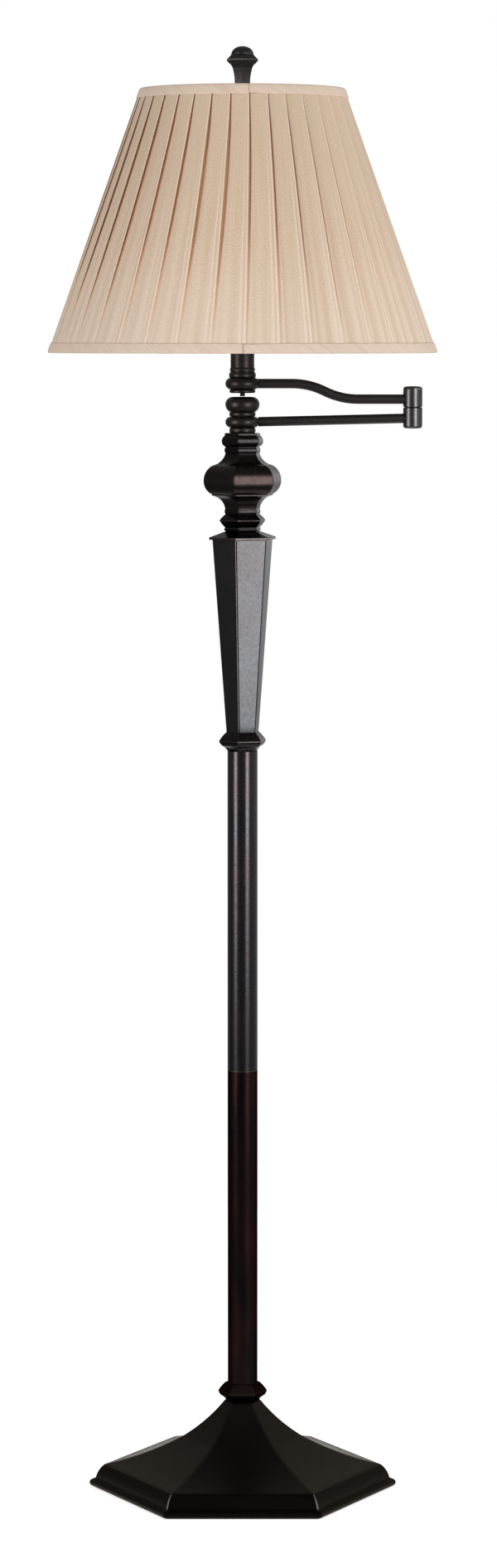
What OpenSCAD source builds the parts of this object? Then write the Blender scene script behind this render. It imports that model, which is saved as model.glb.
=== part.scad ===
// Bridge floor lamp: a hexagonal base, a two-tube pole, a tapered hexagonal column topped by a turned vase,
// a two-link folding arm, and a knife-pleated shade on a harp. Millimetres, Z up.
// The floor is at Z = 0 and the pole stands on the Z axis. The folded arm lies along +X, the front faces -Y.

/* [Base] */
// Radius over the corners at the foot bead
base_foot_r = 162.8; // [130:0.1:200]
// Height from the floor to the seat of the lower collar
base_h = 94.6; // [60:0.1:140]
// Radius over the corners where the rim starts above the foot bead
base_waist_r = 157.8; // [120:0.1:195]
// Height of that waist above the floor
base_waist_h = 7.2; // [4:0.1:15]
// Radius over the corners at the top of the rim
base_shoulder_r = 148; // [110:0.1:190]
// Height of the rim above the floor
base_shoulder_h = 24.3; // [12:0.1:40]
// Radius over the corners where the sweep steepens towards the neck
base_knee_r = 64.2; // [40:0.1:100]
// Height of that knee above the floor
base_knee_h = 55.3; // [35:0.1:80]
// Radius over the corners at the neck
base_neck_r = 19.2; // [14:0.1:30]
// Wall of the cast cover
base_wall = 3; // [2:0.1:6]
// Thickness of the felt under the base
felt_t = 1.2; // [0.5:0.1:4]
// Radius of the iron ballast
weight_r = 112; // [60:1:140]
// Height of the ballast at its edge
weight_edge_h = 12; // [8:1:20]
// Radius of the ballast's raised middle
weight_crown_r = 48; // [30:1:60]
// Height of the ballast at its middle
weight_crown_h = 34; // [20:1:40]
// Radius of the cord outlet in the back of the rim
outlet_r = 3.6; // [2:0.1:6]

/* [Pole and collars] */
// Radius of the pole tubes
pole_r = 15.875; // [10:0.125:25]
// Wall of the pole tubes
pole_wall = 1.2; // [0.8:0.1:3]
// Length of the lower tube
lower_pole_len = 336.7; // [200:0.1:450]
// Length of the upper tube
upper_pole_len = 339; // [200:0.1:450]
// Height of each collar
collar_h = 19.6; // [10:0.1:40]
// Radius over the corners at the ridge of a collar
collar_ridge_r = 26.1; // [20:0.1:40]
// Radius over the corners at the ends of a collar
collar_end_r = 18.3; // [16:0.1:25]
// Height of the ridge above the foot of a collar
collar_ridge_z = 10.5; // [5:0.1:15]

/* [Column and vase] */
// Turn of the column, vase and upper collar about the pole, from the base
column_turn = 18.3; // [0:0.1:60]
// Height of the tapered column
column_h = 202.3; // [120:0.1:300]
// Radius over the corners at the column's foot
column_foot_r = 17.8; // [14:0.1:30]
// Radius over the corners at the column's top
column_top_r = 33.2; // [25:0.1:50]
// Rounding of the column's corners
column_round = 2.2; // [0.5:0.1:5]
// Radius over the corners of the plate that caps the column
cap_r = 36.9; // [28:0.1:55]
// Height of the cap's edge
cap_edge_h = 2.7; // [1:0.1:8]
// Height of the whole cap
cap_h = 8.7; // [4:0.1:20]
// Radius over the corners of every neck of the vase
neck_r = 18.9; // [12:0.1:25]
// Radius over the corners of the small beads beside the necks
bead_r = 20.1; // [14:0.1:28]
// Height of a narrow bead
bead_h = 2.4; // [1:0.1:6]
// Height of a wide bead
wide_bead_h = 4.9; // [2:0.1:8]
// Gap between a bead and what is next to it
bead_gap = 0.8; // [0.3:0.1:2]
// Height of the lower knop
lower_knop_h = 24.1; // [12:0.1:40]
// Radius over the corners at its ridge
lower_knop_r = 25.4; // [20:0.1:40]
// Height of its ridge
lower_knop_z = 11.4; // [5:0.1:20]
// Height of the vase
vase_h = 45; // [25:0.1:80]
// Radius over the corners at the vase's widest line
vase_r = 42.9; // [30:0.1:60]
// Height of the widest line
vase_wide_z = 28.8; // [15:0.1:60]
// Radius over the corners of the step under the bulb
vase_step_r = 34.1; // [25:0.1:50]
// Height of that step
vase_step_z = 13.6; // [6:0.1:30]
// Radius over the corners at the top of the bulb
vase_mouth_r = 32.4; // [20:0.1:45]
// Height of the lid that coves in above the bulb
lid_h = 12.6; // [6:0.1:30]
// Height of the upper knop
upper_knop_h = 20.8; // [12:0.1:40]
// Radius over the corners at its bulge
upper_knop_r = 22.9; // [18:0.1:35]
// Radius of the threaded pipe that ties the column together
pipe_r = 4.85; // [3:0.05:8]

/* [Arm] */
// Distance between the pivots of each link
link_len = 178; // [120:1:260]
// Radius of the arm tubes
arm_r = 5; // [3:0.1:8]
// Wall of the arm tubes
arm_wall = 1.4; // [0.8:0.1:2.5]
// Rise of the lower arm from the column to the elbow
lower_arm_rise = 4.1; // [0:0.1:20]
// Drop of the upper arm's crank
crank_drop = 16.2; // [5:0.1:40]
// Where the crank begins, from the hub's axis
crank_start = 51.5; // [30:0.5:90]
// Radius of both bends of the crank
crank_bend_r = 78; // [30:1:150]
// Radius of the hubs at their widest line
hub_r = 17.9; // [14:0.1:30]
// Radius of the hubs at their faces
hub_face_r = 13.4; // [8:0.1:25]
// Radius of the plain rings between the hubs
ring_r = 13.8; // [10:0.1:25]
// Radius of the elbow barrel
elbow_r = 10; // [7:0.1:16]
// Clearance on the radius between turning parts
run_gap = 0.05; // [0.01:0.01:0.1]
// Clearance between turning faces
face_gap = 0.2; // [0.1:0.05:0.5]

/* [Head] */
// Radius of the post above the upper hub
post_r = 12.4; // [8:0.1:20]
// Height of the post's top above the upper hub's arm
post_top = 54.6; // [40:0.1:90]
// Radius of the harp's wire
harp_wire_r = 2; // [1.5:0.1:3]
// Half width of the harp at the saddle
saddle_half = 23; // [18:0.5:30]
// Radius of the socket's shell
socket_r = 17; // [14:0.5:22]
// Radius of the lamp bulb
bulb_r = 30; // [20:1:48]

/* [Shade] */
// Radius of the shade at its top edge
shade_top_r = 105.9; // [60:0.1:150]
// Radius of the shade at its bottom edge
shade_bottom_r = 203; // [150:0.1:260]
// Height of the shade from edge to edge
shade_h = 272.9; // [180:0.1:360]
// Height of the shade's bottom edge above the upper arm's hub line
shade_rise = 32.1; // [10:0.1:60]
// Number of pleats
pleats = 36; // [12:1:60]
// Depth of a pleat at half height
pleat_depth = 3; // [1:0.1:6]
// Turn of each pleat between the shade's top and bottom edges
pleat_skew = 2.8; // [0:0.1:8]
// Height of the top and bottom trims
trim_h = 10.5; // [6:0.1:20]
// Thickness of the trims
trim_t = 2.4; // [1:0.1:5]

/* [Hidden] */
$fn = 64;
HEX = 6;
ARC = 7;
BEND_STEP = 6;
fit = 0.05;
rod_gap = 0.2;
nipple_wall = 1.4;
FLAT = cos(30);

// Levels of the seats, from the floor up
z_collar = base_h;
z_lower_pole = z_collar + collar_h;
z_upper_pole = z_lower_pole + lower_pole_len;
z_upper_collar = z_upper_pole + upper_pole_len;
z_column = z_upper_collar + collar_h;
z_cap = z_column + column_h;
z_lower_knop = z_cap + cap_h;
z_vase = z_lower_knop + lower_knop_h;
z_lid = z_vase + vase_h;
z_upper_knop = z_lid + lid_h;
z_pivot = z_upper_knop + upper_knop_h;

// The pivot stack on the column
foot_ring_h = 5.6;
hub_h = 11.1;
spacer_h = 5.1;
pivot_cap_h = 15.5;
z_hub = z_pivot + foot_ring_h + face_gap;
z_spacer = z_hub + hub_h + face_gap;
z_pivot_cap = z_spacer + spacer_h;
z_stack_top = z_pivot_cap + pivot_cap_h;
z_lower_arm = z_hub + hub_h / 2;

// The elbow
elbow_half_h = 21.5;
elbow_cap_h = 2.9;
elbow_washer_t = 0.6;
elbow_x = link_len;
elbow_face_r = 7;
elbow_cavity_r = 6.6;
elbow_cap_spigot_h = 2.5;
rivet_r = 4.5;
rivet_head_r = 6.1;
rivet_head_h = 1.2;
rivet_wall = 1.3;
elbow_web_h = 6.2;
z_elbow_low = z_lower_arm + lower_arm_rise;
z_elbow_split = z_elbow_low + 11.2;
z_elbow_up = z_elbow_split + 8.6;

// The head over the column
z_upper_arm = z_elbow_up + crank_drop;
upper_hub_h = 12;
z_upper_hub = z_upper_arm - upper_hub_h / 2;
hub_foot_h = 3.8;
z_hub_foot = z_upper_hub - hub_foot_h;
bolt_r = 2.6;
bolt_gap = 0.6;
hub_ring_h = 5.7;
z_hub_ring = z_upper_hub + upper_hub_h;
z_post = z_hub_ring + hub_ring_h;
z_post_top = z_upper_arm + post_top;
spigot_r = 4;
wireway_r = 8.5;

// The harp and socket
saddle_t = 1.5;
z_saddle = z_post_top;
z_socket = z_saddle + saddle_t;
saddle_post_h = 13;
cup_h = 15;
shell_h = 42;
z_shell = z_socket + cup_h;
z_switch = z_shell + 8;
socket_body_h = 20;
z_screw_shell = z_shell + 14;
screw_shell_r = 14;
screw_shell_h = 28;
bulb_cap_r = 13;
z_bulb_cap = z_screw_shell + 4;
bulb_cap_h = 25;
z_bulb = z_bulb_cap + bulb_cap_h;
bulb_centre_z = 52;

// The shade
z_shade = z_upper_arm + shade_rise;
z_shade_top = z_shade + shade_h;
shade_slope = (shade_bottom_r - shade_top_r) / shade_h;
shade_lean = atan(shade_slope);
cloth_inset = pleat_depth + 0.7;
liner_inset = cloth_inset + 0.3;
liner_edge = 1.3;
liner_t = 0.8;
frame_wire_r = 1.8;
z_top_wire = z_shade_top - 6;
z_bottom_wire = z_shade + 6;
z_harp_top = z_shade_top - 14.6;
boss_r = 5;
boss_h = 4.4;
rivet_stem_r = 2.05;
stud_seat_h = 2;
spider_hub_h = 3.6;
z_spider = z_harp_top + boss_h / 2 + stud_seat_h;
stud_r = 3.1;
z_finial = z_spider + spider_hub_h;
finial_h = 50.5;
front = -90;
pleat_start = front + 3.5;

// Points from after p up to q on an arc that stands out from the chord by sag, or in if it is negative
function arc(p, q, sag, n = ARC) =
  let (
    c = norm(q - p),
    u = (q - p) / c,
    out = [u[1], -u[0]],
    h = 2 * atan(2 * sag / c),
    r = c / (2 * sin(h))
  )
  [for (i = [1:n]) let (a = h * (2 * i / n - 1)) p + u * (c / 2 + r * sin(a)) + out * r * (cos(a) - cos(h))];

// Points over a round rim that is widest at the middle one of three points
function rim(a, m, b, n = ARC) =
  let (
    r0 = (pow(m[0] - a[0], 2) + pow(m[1] - a[1], 2)) / (2 * (m[0] - a[0])),
    r1 = (pow(m[0] - b[0], 2) + pow(m[1] - b[1], 2)) / (2 * (m[0] - b[0])),
    a0 = asin((m[1] - a[1]) / r0),
    a1 = asin((b[1] - m[1]) / r1)
  )
  concat(
    [for (i = [0:n - 1]) let (t = -a0 * (1 - i / n)) m + r0 * [cos(t) - 1, sin(t)]],
    [for (i = [0:n]) let (t = a1 * i / n) m + r1 * [cos(t) - 1, sin(t)]]
  );

// A bead between heights z and z + h that bulges from r to r_max
function bead(r, r_max, z, h) = rim([r, z], [r_max, z + h / 2], [r, z + h], 4);

// A solid of revolution from an outline that is closed along the axis
module turned(outline) {
  last = outline[len(outline) - 1];
  rotate_extrude()
    polygon(concat([[0, outline[0][1]]], outline, [[0, last[1]]]));
}

// The same outline as a six-sided casting, whose radii are those over its corners
module six_sided(outline, turn = 0) {
  last = outline[len(outline) - 1];
  rotate(turn)
    rotate_extrude($fn = HEX)
      polygon(concat([[0, outline[0][1]]], outline, [[0, last[1]]]));
}

module bore(r, z0, z1) {
  translate([0, 0, z0 - 1]) cylinder(r = r, h = z1 - z0 + 2);
}

module tube(r, r_in, h) {
  difference() {
    cylinder(r = r, h = h);
    bore(r_in, 0, h);
  }
}

// Places and headings along a route in the XZ plane, whose steps are straights [length] or bends [radius, turn]
function walk(steps, at, heading, i = 0) =
  i == len(steps) ? [] :
  let (
    step = steps[i],
    turn = len(step) == 1 ? 0 : step[1],
    count = max(1, ceil(abs(turn) / BEND_STEP)),
    stops = len(step) == 1
      ? [[at + step[0] * [cos(heading), sin(heading)], heading]]
      : [for (k = [1:count]) bend_stop(at, heading, step[0], turn * k / count)],
    last = stops[len(stops) - 1]
  )
  concat(stops, walk(steps, last[0], last[1], i + 1));

function bend_stop(at, heading, radius, turn) =
  let (side = sign(turn) * radius)
  [at + side * [sin(heading + turn) - sin(heading), cos(heading) - cos(heading + turn)], heading + turn];

// A wire or tube along a route in the XZ plane
module bent_tube(steps, at, heading, r, r_in, sides) {
  stops = concat([[at, heading]], walk(steps, at, heading));
  rings = len(stops);
  skins = r_in > 0 ? [r, r_in] : [r];
  points = [
    for (radius = skins, s = stops, k = [0:sides - 1])
      let (
        a = 360 * k / sides,
        side = radius * cos(a)
      )
      [s[0][0] - side * sin(s[1]), radius * sin(a), s[0][1] + side * cos(s[1])]
  ];
  function at_ring(skin, ring, k) = (skin * rings + ring) * sides + k % sides;
  outside = [
    for (j = [0:rings - 2], k = [0:sides - 1])
      each [
        [at_ring(0, j, k), at_ring(0, j, k + 1), at_ring(0, j + 1, k + 1)],
        [at_ring(0, j, k), at_ring(0, j + 1, k + 1), at_ring(0, j + 1, k)],
      ]
  ];
  inside = [
    for (j = [0:rings - 2], k = [0:sides - 1])
      each [
        [at_ring(1, j, k), at_ring(1, j + 1, k + 1), at_ring(1, j, k + 1)],
        [at_ring(1, j, k), at_ring(1, j + 1, k), at_ring(1, j + 1, k + 1)],
      ]
  ];
  top = rings - 1;
  open_ends = [
    for (k = [0:sides - 1])
      each [
        [at_ring(0, 0, k), at_ring(1, 0, k), at_ring(1, 0, k + 1)],
        [at_ring(0, 0, k), at_ring(1, 0, k + 1), at_ring(0, 0, k + 1)],
        [at_ring(0, top, k), at_ring(1, top, k + 1), at_ring(1, top, k)],
        [at_ring(0, top, k), at_ring(0, top, k + 1), at_ring(1, top, k + 1)],
      ]
  ];
  closed_ends = [
    for (k = [1:sides - 2])
      each [
        [at_ring(0, 0, 0), at_ring(0, 0, k + 1), at_ring(0, 0, k)],
        [at_ring(0, top, 0), at_ring(0, top, k), at_ring(0, top, k + 1)],
      ]
  ];
  polyhedron(points, r_in > 0 ? concat(outside, inside, open_ends) : concat(outside, closed_ends));
}

// ---- Base ----

felt_inset = 4;

module base_felt() {
  color("dimgray")
    cylinder(r = base_foot_r - felt_inset, h = felt_t, $fn = HEX);
}

// Points of the cover at a depth t under its skin
waist_in = [1, 0.2];
shoulder_in = [0.85, 1];
knee_in = [0.5, 0.87];
function base_waist(t) = [base_waist_r, base_waist_h] - t * waist_in;
function base_shoulder(t) = [base_shoulder_r, base_shoulder_h] - t * shoulder_in;
function base_knee(t) = [base_knee_r, base_knee_h] - t * knee_in;

// The outline at that depth, from the waist over the rim and up the sweep
rim_swell = 2;
sweep_hollow = -3;
function base_side(t) =
  concat(
    [base_waist(t)],
    arc(base_waist(t), base_shoulder(t), rim_swell),
    arc(base_shoulder(t), base_knee(t), sweep_hollow, 9)
  );

outlet_z = 14;
outlet_seat_y = base_waist_r * FLAT - 4;
bushing_flange_r = outlet_r + 4;
bushing_flange_h = 1.6;
bushing_neck_r = outlet_r + 2;
bushing_neck_h = 7;

// The cord leaves through the back of the rim, where a round seat takes its bushing
module at_outlet() {
  translate([0, outlet_seat_y, outlet_z])
    rotate([-90, 0, 0])
      children();
}

module base_cover() {
  reach = 40;
  lip = 4.5;
  foot_bead_h = 2.8;
  neck_hollow = -2.6;
  ceiling_hollow = -2.2;
  foot_in = [base_foot_r - lip, felt_t];
  foot_out = [base_foot_r - 1.3, felt_t];
  bead_side = [base_foot_r, felt_t + foot_bead_h / 2];
  bead_top = [base_foot_r - 0.8, felt_t + foot_bead_h];
  neck = [base_neck_r, base_h];
  ceiling = [base_neck_r + 7, base_h - 14.5];
  outside = concat(
    rim(foot_out, bead_side, bead_top, 4),
    base_side(0),
    arc(base_knee(0), neck, neck_hollow, 9)
  );
  inside = concat(
    [[foot_in[0], 0], foot_in],
    base_side(base_wall),
    arc(base_knee(base_wall), ceiling, ceiling_hollow, 9)
  );
  color("darkslategray")
    difference() {
      six_sided(outside);
      six_sided(inside);
      bore(pipe_r + rod_gap, 0, base_h);
      at_outlet() translate([0, 0, -reach / 2]) cylinder(r = bushing_neck_r, h = reach);
      at_outlet() cylinder(r = bushing_flange_r + 0.5, h = reach);
    }
}

module cord_bushing() {
  color("black")
    at_outlet()
      difference() {
        union() {
          cylinder(r = bushing_flange_r, h = bushing_flange_h);
          translate([0, 0, -bushing_neck_h]) cylinder(r = bushing_neck_r - fit, h = bushing_neck_h);
        }
        bore(outlet_r, -bushing_neck_h, bushing_flange_h);
      }
}

weight_z = felt_t;
nut_pocket_r = 20;
nut_pocket_h = 11;

// An iron disc that is thicker in the middle, with a pocket for the nut and a channel for the cord
module base_weight() {
  slot = 9;
  crown_bevel = [20, 6];
  crown = [weight_crown_r, weight_z + weight_crown_h - crown_bevel[1]];
  color("gray")
    difference() {
      turned([
        [weight_r, weight_z],
        [weight_r, weight_z + weight_edge_h],
        crown,
        crown + [-crown_bevel[0], crown_bevel[1]],
      ]);
      bore(pipe_r + rod_gap, 0, weight_z + weight_crown_h);
      bore(nut_pocket_r, 0, weight_z + nut_pocket_h - 1);
      translate([-slot / 2, 0, 0]) cube([slot, weight_r + slot, weight_z + slot]);
    }
}

nut_r = 8.5;
nut_h = 5;
washer_r = 15;
washer_h = 1.5;

module base_washer() {
  color("silver")
    translate([0, 0, weight_z + nut_pocket_h - washer_h])
      tube(washer_r, pipe_r + rod_gap, washer_h);
}

module base_nut() {
  color("goldenrod")
    translate([0, 0, weight_z + nut_pocket_h - washer_h - nut_h])
      difference() {
        cylinder(r = nut_r, h = nut_h, $fn = HEX);
        bore(pipe_r + fit, 0, nut_h);
      }
}

plug_h = 14;
nipple_inset = 2;

// A threaded pipe from height z0 to z1
module nipple(z0, z1) {
  translate([0, 0, z0])
    tube(pipe_r, pipe_r - nipple_wall, z1 - z0);
}

module base_nipple() {
  color("silver") nipple(weight_z + 3.5, z_lower_pole + plug_h - nipple_inset);
}

// ---- Collars and pole ----

// A six-sided knop that flares out to its ridge and swells in again to the tube above it
module collar(z, turn, foot_r) {
  cove = -0.6;
  swell = 0.4;
  foot = [foot_r, z];
  belly = foot + [6, 5.4];
  ridge = [collar_ridge_r, z + collar_ridge_z];
  top = [collar_end_r, z + collar_h];
  difference() {
    six_sided(
      concat([foot], arc(foot, belly, cove, 4), arc(belly, ridge, swell, 3), arc(ridge, top, swell, 4)),
      turn
    );
    bore(pipe_r + rod_gap, z, z + collar_h);
  }
}

module base_collar() {
  color("dimgray") collar(z_collar, 0, pole_r + 1.7);
}

module upper_collar() {
  color("dimgray") collar(z_upper_collar, column_turn, pole_r + 0.7);
}

module pole_tube(z, length) {
  edge = 0.4;
  difference() {
    translate([0, 0, z])
      turned([[pole_r - edge, 0], [pole_r, edge], [pole_r, length - edge], [pole_r - edge, length]]);
    bore(pole_r - pole_wall, z, z + length);
  }
}

module lower_pole() {
  color("slategray") pole_tube(z_lower_pole, lower_pole_len);
}

module upper_pole() {
  color("slategray") pole_tube(z_upper_pole, upper_pole_len);
}

module pole_plugs() {
  seats = [z_lower_pole, z_upper_pole - plug_h, z_upper_pole, z_upper_collar - plug_h];
  color("goldenrod")
    for (z = seats)
      translate([0, 0, z])
        tube(pole_r - pole_wall - fit, pipe_r + fit, plug_h);
}

module pole_coupling() {
  half = plug_h - nipple_inset;
  color("silver") nipple(z_upper_pole - half, z_upper_pole + half);
}

// ---- Column ----

// One end of the column: a hexagon with rounded corners
module column_section(r) {
  inner = r - column_round / FLAT;
  hull()
    for (k = [0:HEX - 1])
      rotate(60 * k)
        translate([inner, 0])
          circle(r = column_round, $fn = 24);
}

column_wall = 3;

module tapered_column() {
  end_t = 0.01;
  floor_h = 5;
  foot_in = column_foot_r * FLAT - column_wall;
  top_in = column_top_r * FLAT - column_wall;
  color("darkslategray")
    difference() {
      rotate(column_turn)
        hull() {
          translate([0, 0, z_column]) linear_extrude(end_t) column_section(column_foot_r);
          translate([0, 0, z_cap - end_t]) linear_extrude(end_t) column_section(column_top_r);
        }
      bore(pipe_r + rod_gap, z_column, z_cap);
      translate([0, 0, z_column + floor_h])
        cylinder(r1 = foot_in, r2 = top_in, h = column_h - floor_h + end_t);
    }
}

// A six-sided casting of the column, drilled for the centre pipe
module column_piece(outline) {
  z0 = outline[0][1];
  z1 = outline[len(outline) - 1][1];
  difference() {
    six_sided(outline, column_turn);
    bore(pipe_r + rod_gap, z0, z1);
  }
}

module column_cap() {
  bevel = 0.5;
  color("dimgray")
    column_piece([
      [cap_r - bevel, z_cap],
      [cap_r, z_cap + bevel],
      [cap_r, z_cap + cap_edge_h - bevel],
      [cap_r - bevel, z_cap + cap_edge_h],
      [neck_r, z_cap + cap_h],
    ]);
}

// A ridged knop between a narrow bead and a wide one
module lower_knop() {
  swell = 0.4;
  z = z_lower_knop;
  bead_z = z + bead_gap;
  low_neck = [neck_r + 0.3, bead_z + bead_h + bead_gap];
  ridge = [lower_knop_r, z + lower_knop_z];
  wide_z = z + lower_knop_h - wide_bead_h - bead_gap;
  top_neck = [neck_r, wide_z - 0.6];
  color("dimgray")
    column_piece(concat(
      [[neck_r - 0.2, z]],
      bead(neck_r + 0.6, bead_r + 0.2, bead_z, bead_h),
      [low_neck],
      arc(low_neck, ridge, swell, 4),
      arc(ridge, top_neck, swell, 4),
      bead(neck_r + 0.3, bead_r - 0.3, wide_z, wide_bead_h),
      [[neck_r + 0.4, z + lower_knop_h]]
    ));
}

// A hollow cast bulb on a coved foot
module vase_bulb() {
  wall = 4;
  cove = -2.2;
  z = z_vase;
  foot = [neck_r + 0.4, z];
  under = [vase_step_r - 4.2, z + vase_step_z - 1.3];
  step = [vase_step_r, z + vase_step_z];
  bulb_foot = [vase_step_r - 0.4, z + vase_step_z + 1];
  wide = [vase_r, z + vase_wide_z];
  mouth = [vase_mouth_r, z + vase_h];
  color("darkslategray")
    difference() {
      column_piece(concat([foot], arc(foot, under, cove), [step], rim(bulb_foot, wide, mouth, 8)));
      turned([
        [vase_step_r * FLAT - wall, step[1] + wall],
        [vase_r * FLAT - wall - 1, wide[1]],
        [vase_mouth_r * FLAT - wall, mouth[1] + 0.01],
      ]);
    }
}

module vase_lid() {
  cove = -2.6;
  foot = [vase_mouth_r - 0.3, z_lid];
  color("dimgray")
    column_piece(concat([foot], arc(foot, [neck_r - 0.1, z_lid + lid_h], cove)));
}

// A round-bellied knop between a wide bead and a narrow one
module upper_knop() {
  z = z_upper_knop;
  bulge_z = z + wide_bead_h + 2 * bead_gap;
  bead_z = z + upper_knop_h - bead_h - 0.2;
  belly = [upper_knop_r, (bulge_z + bead_z) / 2];
  color("dimgray")
    column_piece(concat(
      [[neck_r, z]],
      bead(neck_r + 0.3, bead_r - 0.2, z + 0.4, wide_bead_h),
      rim([neck_r - 0.1, bulge_z], belly, [neck_r + 0.5, bead_z], 5),
      bead(neck_r + 0.5, bead_r - 0.5, bead_z, bead_h),
      [[neck_r + 0.3, z + upper_knop_h]]
    ));
}

// The pipe has a window in the hub, where the cord turns off into the lower arm
module centre_pipe() {
  window_w = 4;
  window_sill = 2;
  color("silver")
    difference() {
      nipple(z_upper_collar - plug_h + nipple_inset, z_stack_top - 4);
      translate([0, -window_w / 2, z_hub + window_sill])
        cube([2 * pipe_r, window_w, hub_h - 2 * window_sill]);
    }
}

// ---- Pivot on the column ----

bush_r = 7;
ring_step = 0.4;

// A plain ring of radius r with a rounded edge
module ring(r, z, h, hole_r) {
  face_r = r - 1;
  difference() {
    turned(concat([[face_r, z]], bead(r - 0.6, r, z + ring_step, h - 2 * ring_step), [[face_r, z + h]]));
    bore(hole_r, z, z + h);
  }
}

module pivot_foot_ring() {
  color("dimgray") ring(ring_r, z_pivot, foot_ring_h, pipe_r + rod_gap);
}

module pivot_bush() {
  color("goldenrod")
    translate([0, 0, z_pivot + foot_ring_h])
      tube(bush_r, pipe_r + fit, hub_h + 2 * face_gap);
}

module pivot_spacer() {
  color("dimgray") ring(ring_r, z_spacer, spacer_h, pipe_r + rod_gap);
}

// A domed nut, screwed on the end of the centre pipe
module pivot_cap() {
  z = z_pivot_cap;
  top_r = 10.4;
  roof = 3;
  color("dimgray")
    difference() {
      turned(rim([ring_r, z], [hub_r, z + pivot_cap_h / 2], [top_r, z + pivot_cap_h]));
      bore(pipe_r + fit, z, z + pivot_cap_h - roof - 1);
    }
}

// ---- Lower arm ----

lower_arm_tilt = atan(lower_arm_rise / link_len);
hub_socket_x = 11.5;
elbow_socket_x = elbow_cavity_r + 0.6;
hub_seat_x = hub_r - 1.2;
elbow_seat_x = link_len / cos(lower_arm_tilt) - elbow_r + 1.4;
spigot_wall = 1.2;

module at_lower_arm() {
  translate([0, 0, z_lower_arm]) rotate([0, 90 - lower_arm_tilt, 0]) children();
}

module lower_hub() {
  color("darkslategray")
    difference() {
      turned(rim([hub_face_r, z_hub], [hub_r, z_lower_arm], [hub_face_r, z_hub + hub_h]));
      bore(bush_r + run_gap, z_hub, z_hub + hub_h);
      at_lower_arm() cylinder(r = spigot_r + fit, h = 2 * hub_r);
      at_lower_arm() translate([0, 0, hub_seat_x]) cylinder(r = arm_r + fit, h = hub_r);
    }
}

// A tube with a spigot at each end
module lower_arm() {
  tip = link_len - elbow_socket_x;
  color("slategray")
    at_lower_arm()
      difference() {
        union() {
          translate([0, 0, hub_seat_x]) cylinder(r = arm_r, h = elbow_seat_x - hub_seat_x);
          translate([0, 0, hub_socket_x]) cylinder(r = spigot_r, h = tip - hub_socket_x);
        }
        bore(spigot_r - spigot_wall, hub_socket_x, tip);
      }
}

elbow_bevel = 0.5;

// A short barrel, hollow for the cord, with a web that the rivet goes through
module elbow_lower() {
  z0 = z_elbow_split - elbow_washer_t / 2 - elbow_half_h + elbow_cap_h;
  z1 = z_elbow_split - elbow_washer_t / 2;
  color("darkslategray")
    difference() {
      translate([elbow_x, 0, 0])
        difference() {
          turned([[elbow_r, z0], [elbow_r, z1 - elbow_bevel], [elbow_r - elbow_bevel, z1]]);
          translate([0, 0, z0 - 1]) cylinder(r = elbow_cavity_r, h = z1 - z0 - elbow_web_h + 1);
          bore(rivet_r + fit, z0, z1);
        }
      at_lower_arm() translate([0, 0, link_len / 2]) cylinder(r = spigot_r + fit, h = link_len / 2);
      at_lower_arm()
        translate([0, 0, link_len / 2])
          cylinder(r = arm_r + fit, h = elbow_seat_x - link_len / 2);
    }
}

// A rounded cap that plugs the barrel's end, drawn with its outer face down
module elbow_cap_shape() {
  eps = 0.01;
  edge_low = [elbow_face_r, 0];
  edge_side = [elbow_r, elbow_cap_h - eps];
  plug = elbow_cavity_r - fit;
  turned(concat(
    [[elbow_face_r - 4, -0.3]],
    rim(edge_low, edge_side, [elbow_r - eps, elbow_cap_h], 4),
    [[plug, elbow_cap_h], [plug, elbow_cap_h + elbow_cap_spigot_h]]
  ));
}

module elbow_lower_cap() {
  color("dimgray")
    translate([elbow_x, 0, z_elbow_split - elbow_washer_t / 2 - elbow_half_h])
      elbow_cap_shape();
}

module elbow_washer() {
  color("goldenrod")
    translate([elbow_x, 0, z_elbow_split - elbow_washer_t / 2])
      tube(elbow_r - 2 * elbow_bevel, rivet_r + fit, elbow_washer_t);
}

module elbow_rivet() {
  web_low = z_elbow_split - elbow_washer_t / 2 - elbow_web_h;
  web_high = z_elbow_split + elbow_washer_t / 2 + face_gap + elbow_web_h;
  color("goldenrod")
    translate([elbow_x, 0, 0])
      difference() {
        union() {
          translate([0, 0, web_low - rivet_head_h]) cylinder(r = rivet_head_r, h = rivet_head_h);
          translate([0, 0, web_low]) cylinder(r = rivet_r, h = web_high - web_low + face_gap);
          translate([0, 0, web_high + face_gap]) cylinder(r = rivet_head_r, h = rivet_head_h);
        }
        bore(rivet_r - rivet_wall, web_low - rivet_head_h, web_high + rivet_head_h);
      }
}

// ---- Upper arm ----

// The bend angle and the length of the cranked stretch follow from its drop and bend radius
crank_angle = acos(1 - crank_drop / 2 / crank_bend_r);
crank_len = 2 * crank_bend_r * sin(crank_angle);

module elbow_upper() {
  z0 = z_elbow_split + elbow_washer_t / 2 + face_gap;
  z1 = z_elbow_split + elbow_washer_t / 2 + elbow_half_h - elbow_cap_h;
  color("darkslategray")
    difference() {
      translate([elbow_x, 0, 0])
        difference() {
          turned([[elbow_r - elbow_bevel, z0], [elbow_r, z0 + elbow_bevel], [elbow_r, z1]]);
          translate([0, 0, z0 + elbow_web_h]) cylinder(r = elbow_cavity_r, h = z1 - z0);
          bore(rivet_r + run_gap, z0, z1);
        }
      translate([elbow_x, 0, z_elbow_up]) rotate([0, -90, 0]) cylinder(r = arm_r + fit, h = 2 * elbow_r);
    }
}

module elbow_upper_cap() {
  color("dimgray")
    translate([elbow_x, 0, z_elbow_split + elbow_washer_t / 2 + elbow_half_h])
      mirror([0, 0, 1])
        elbow_cap_shape();
}

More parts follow.
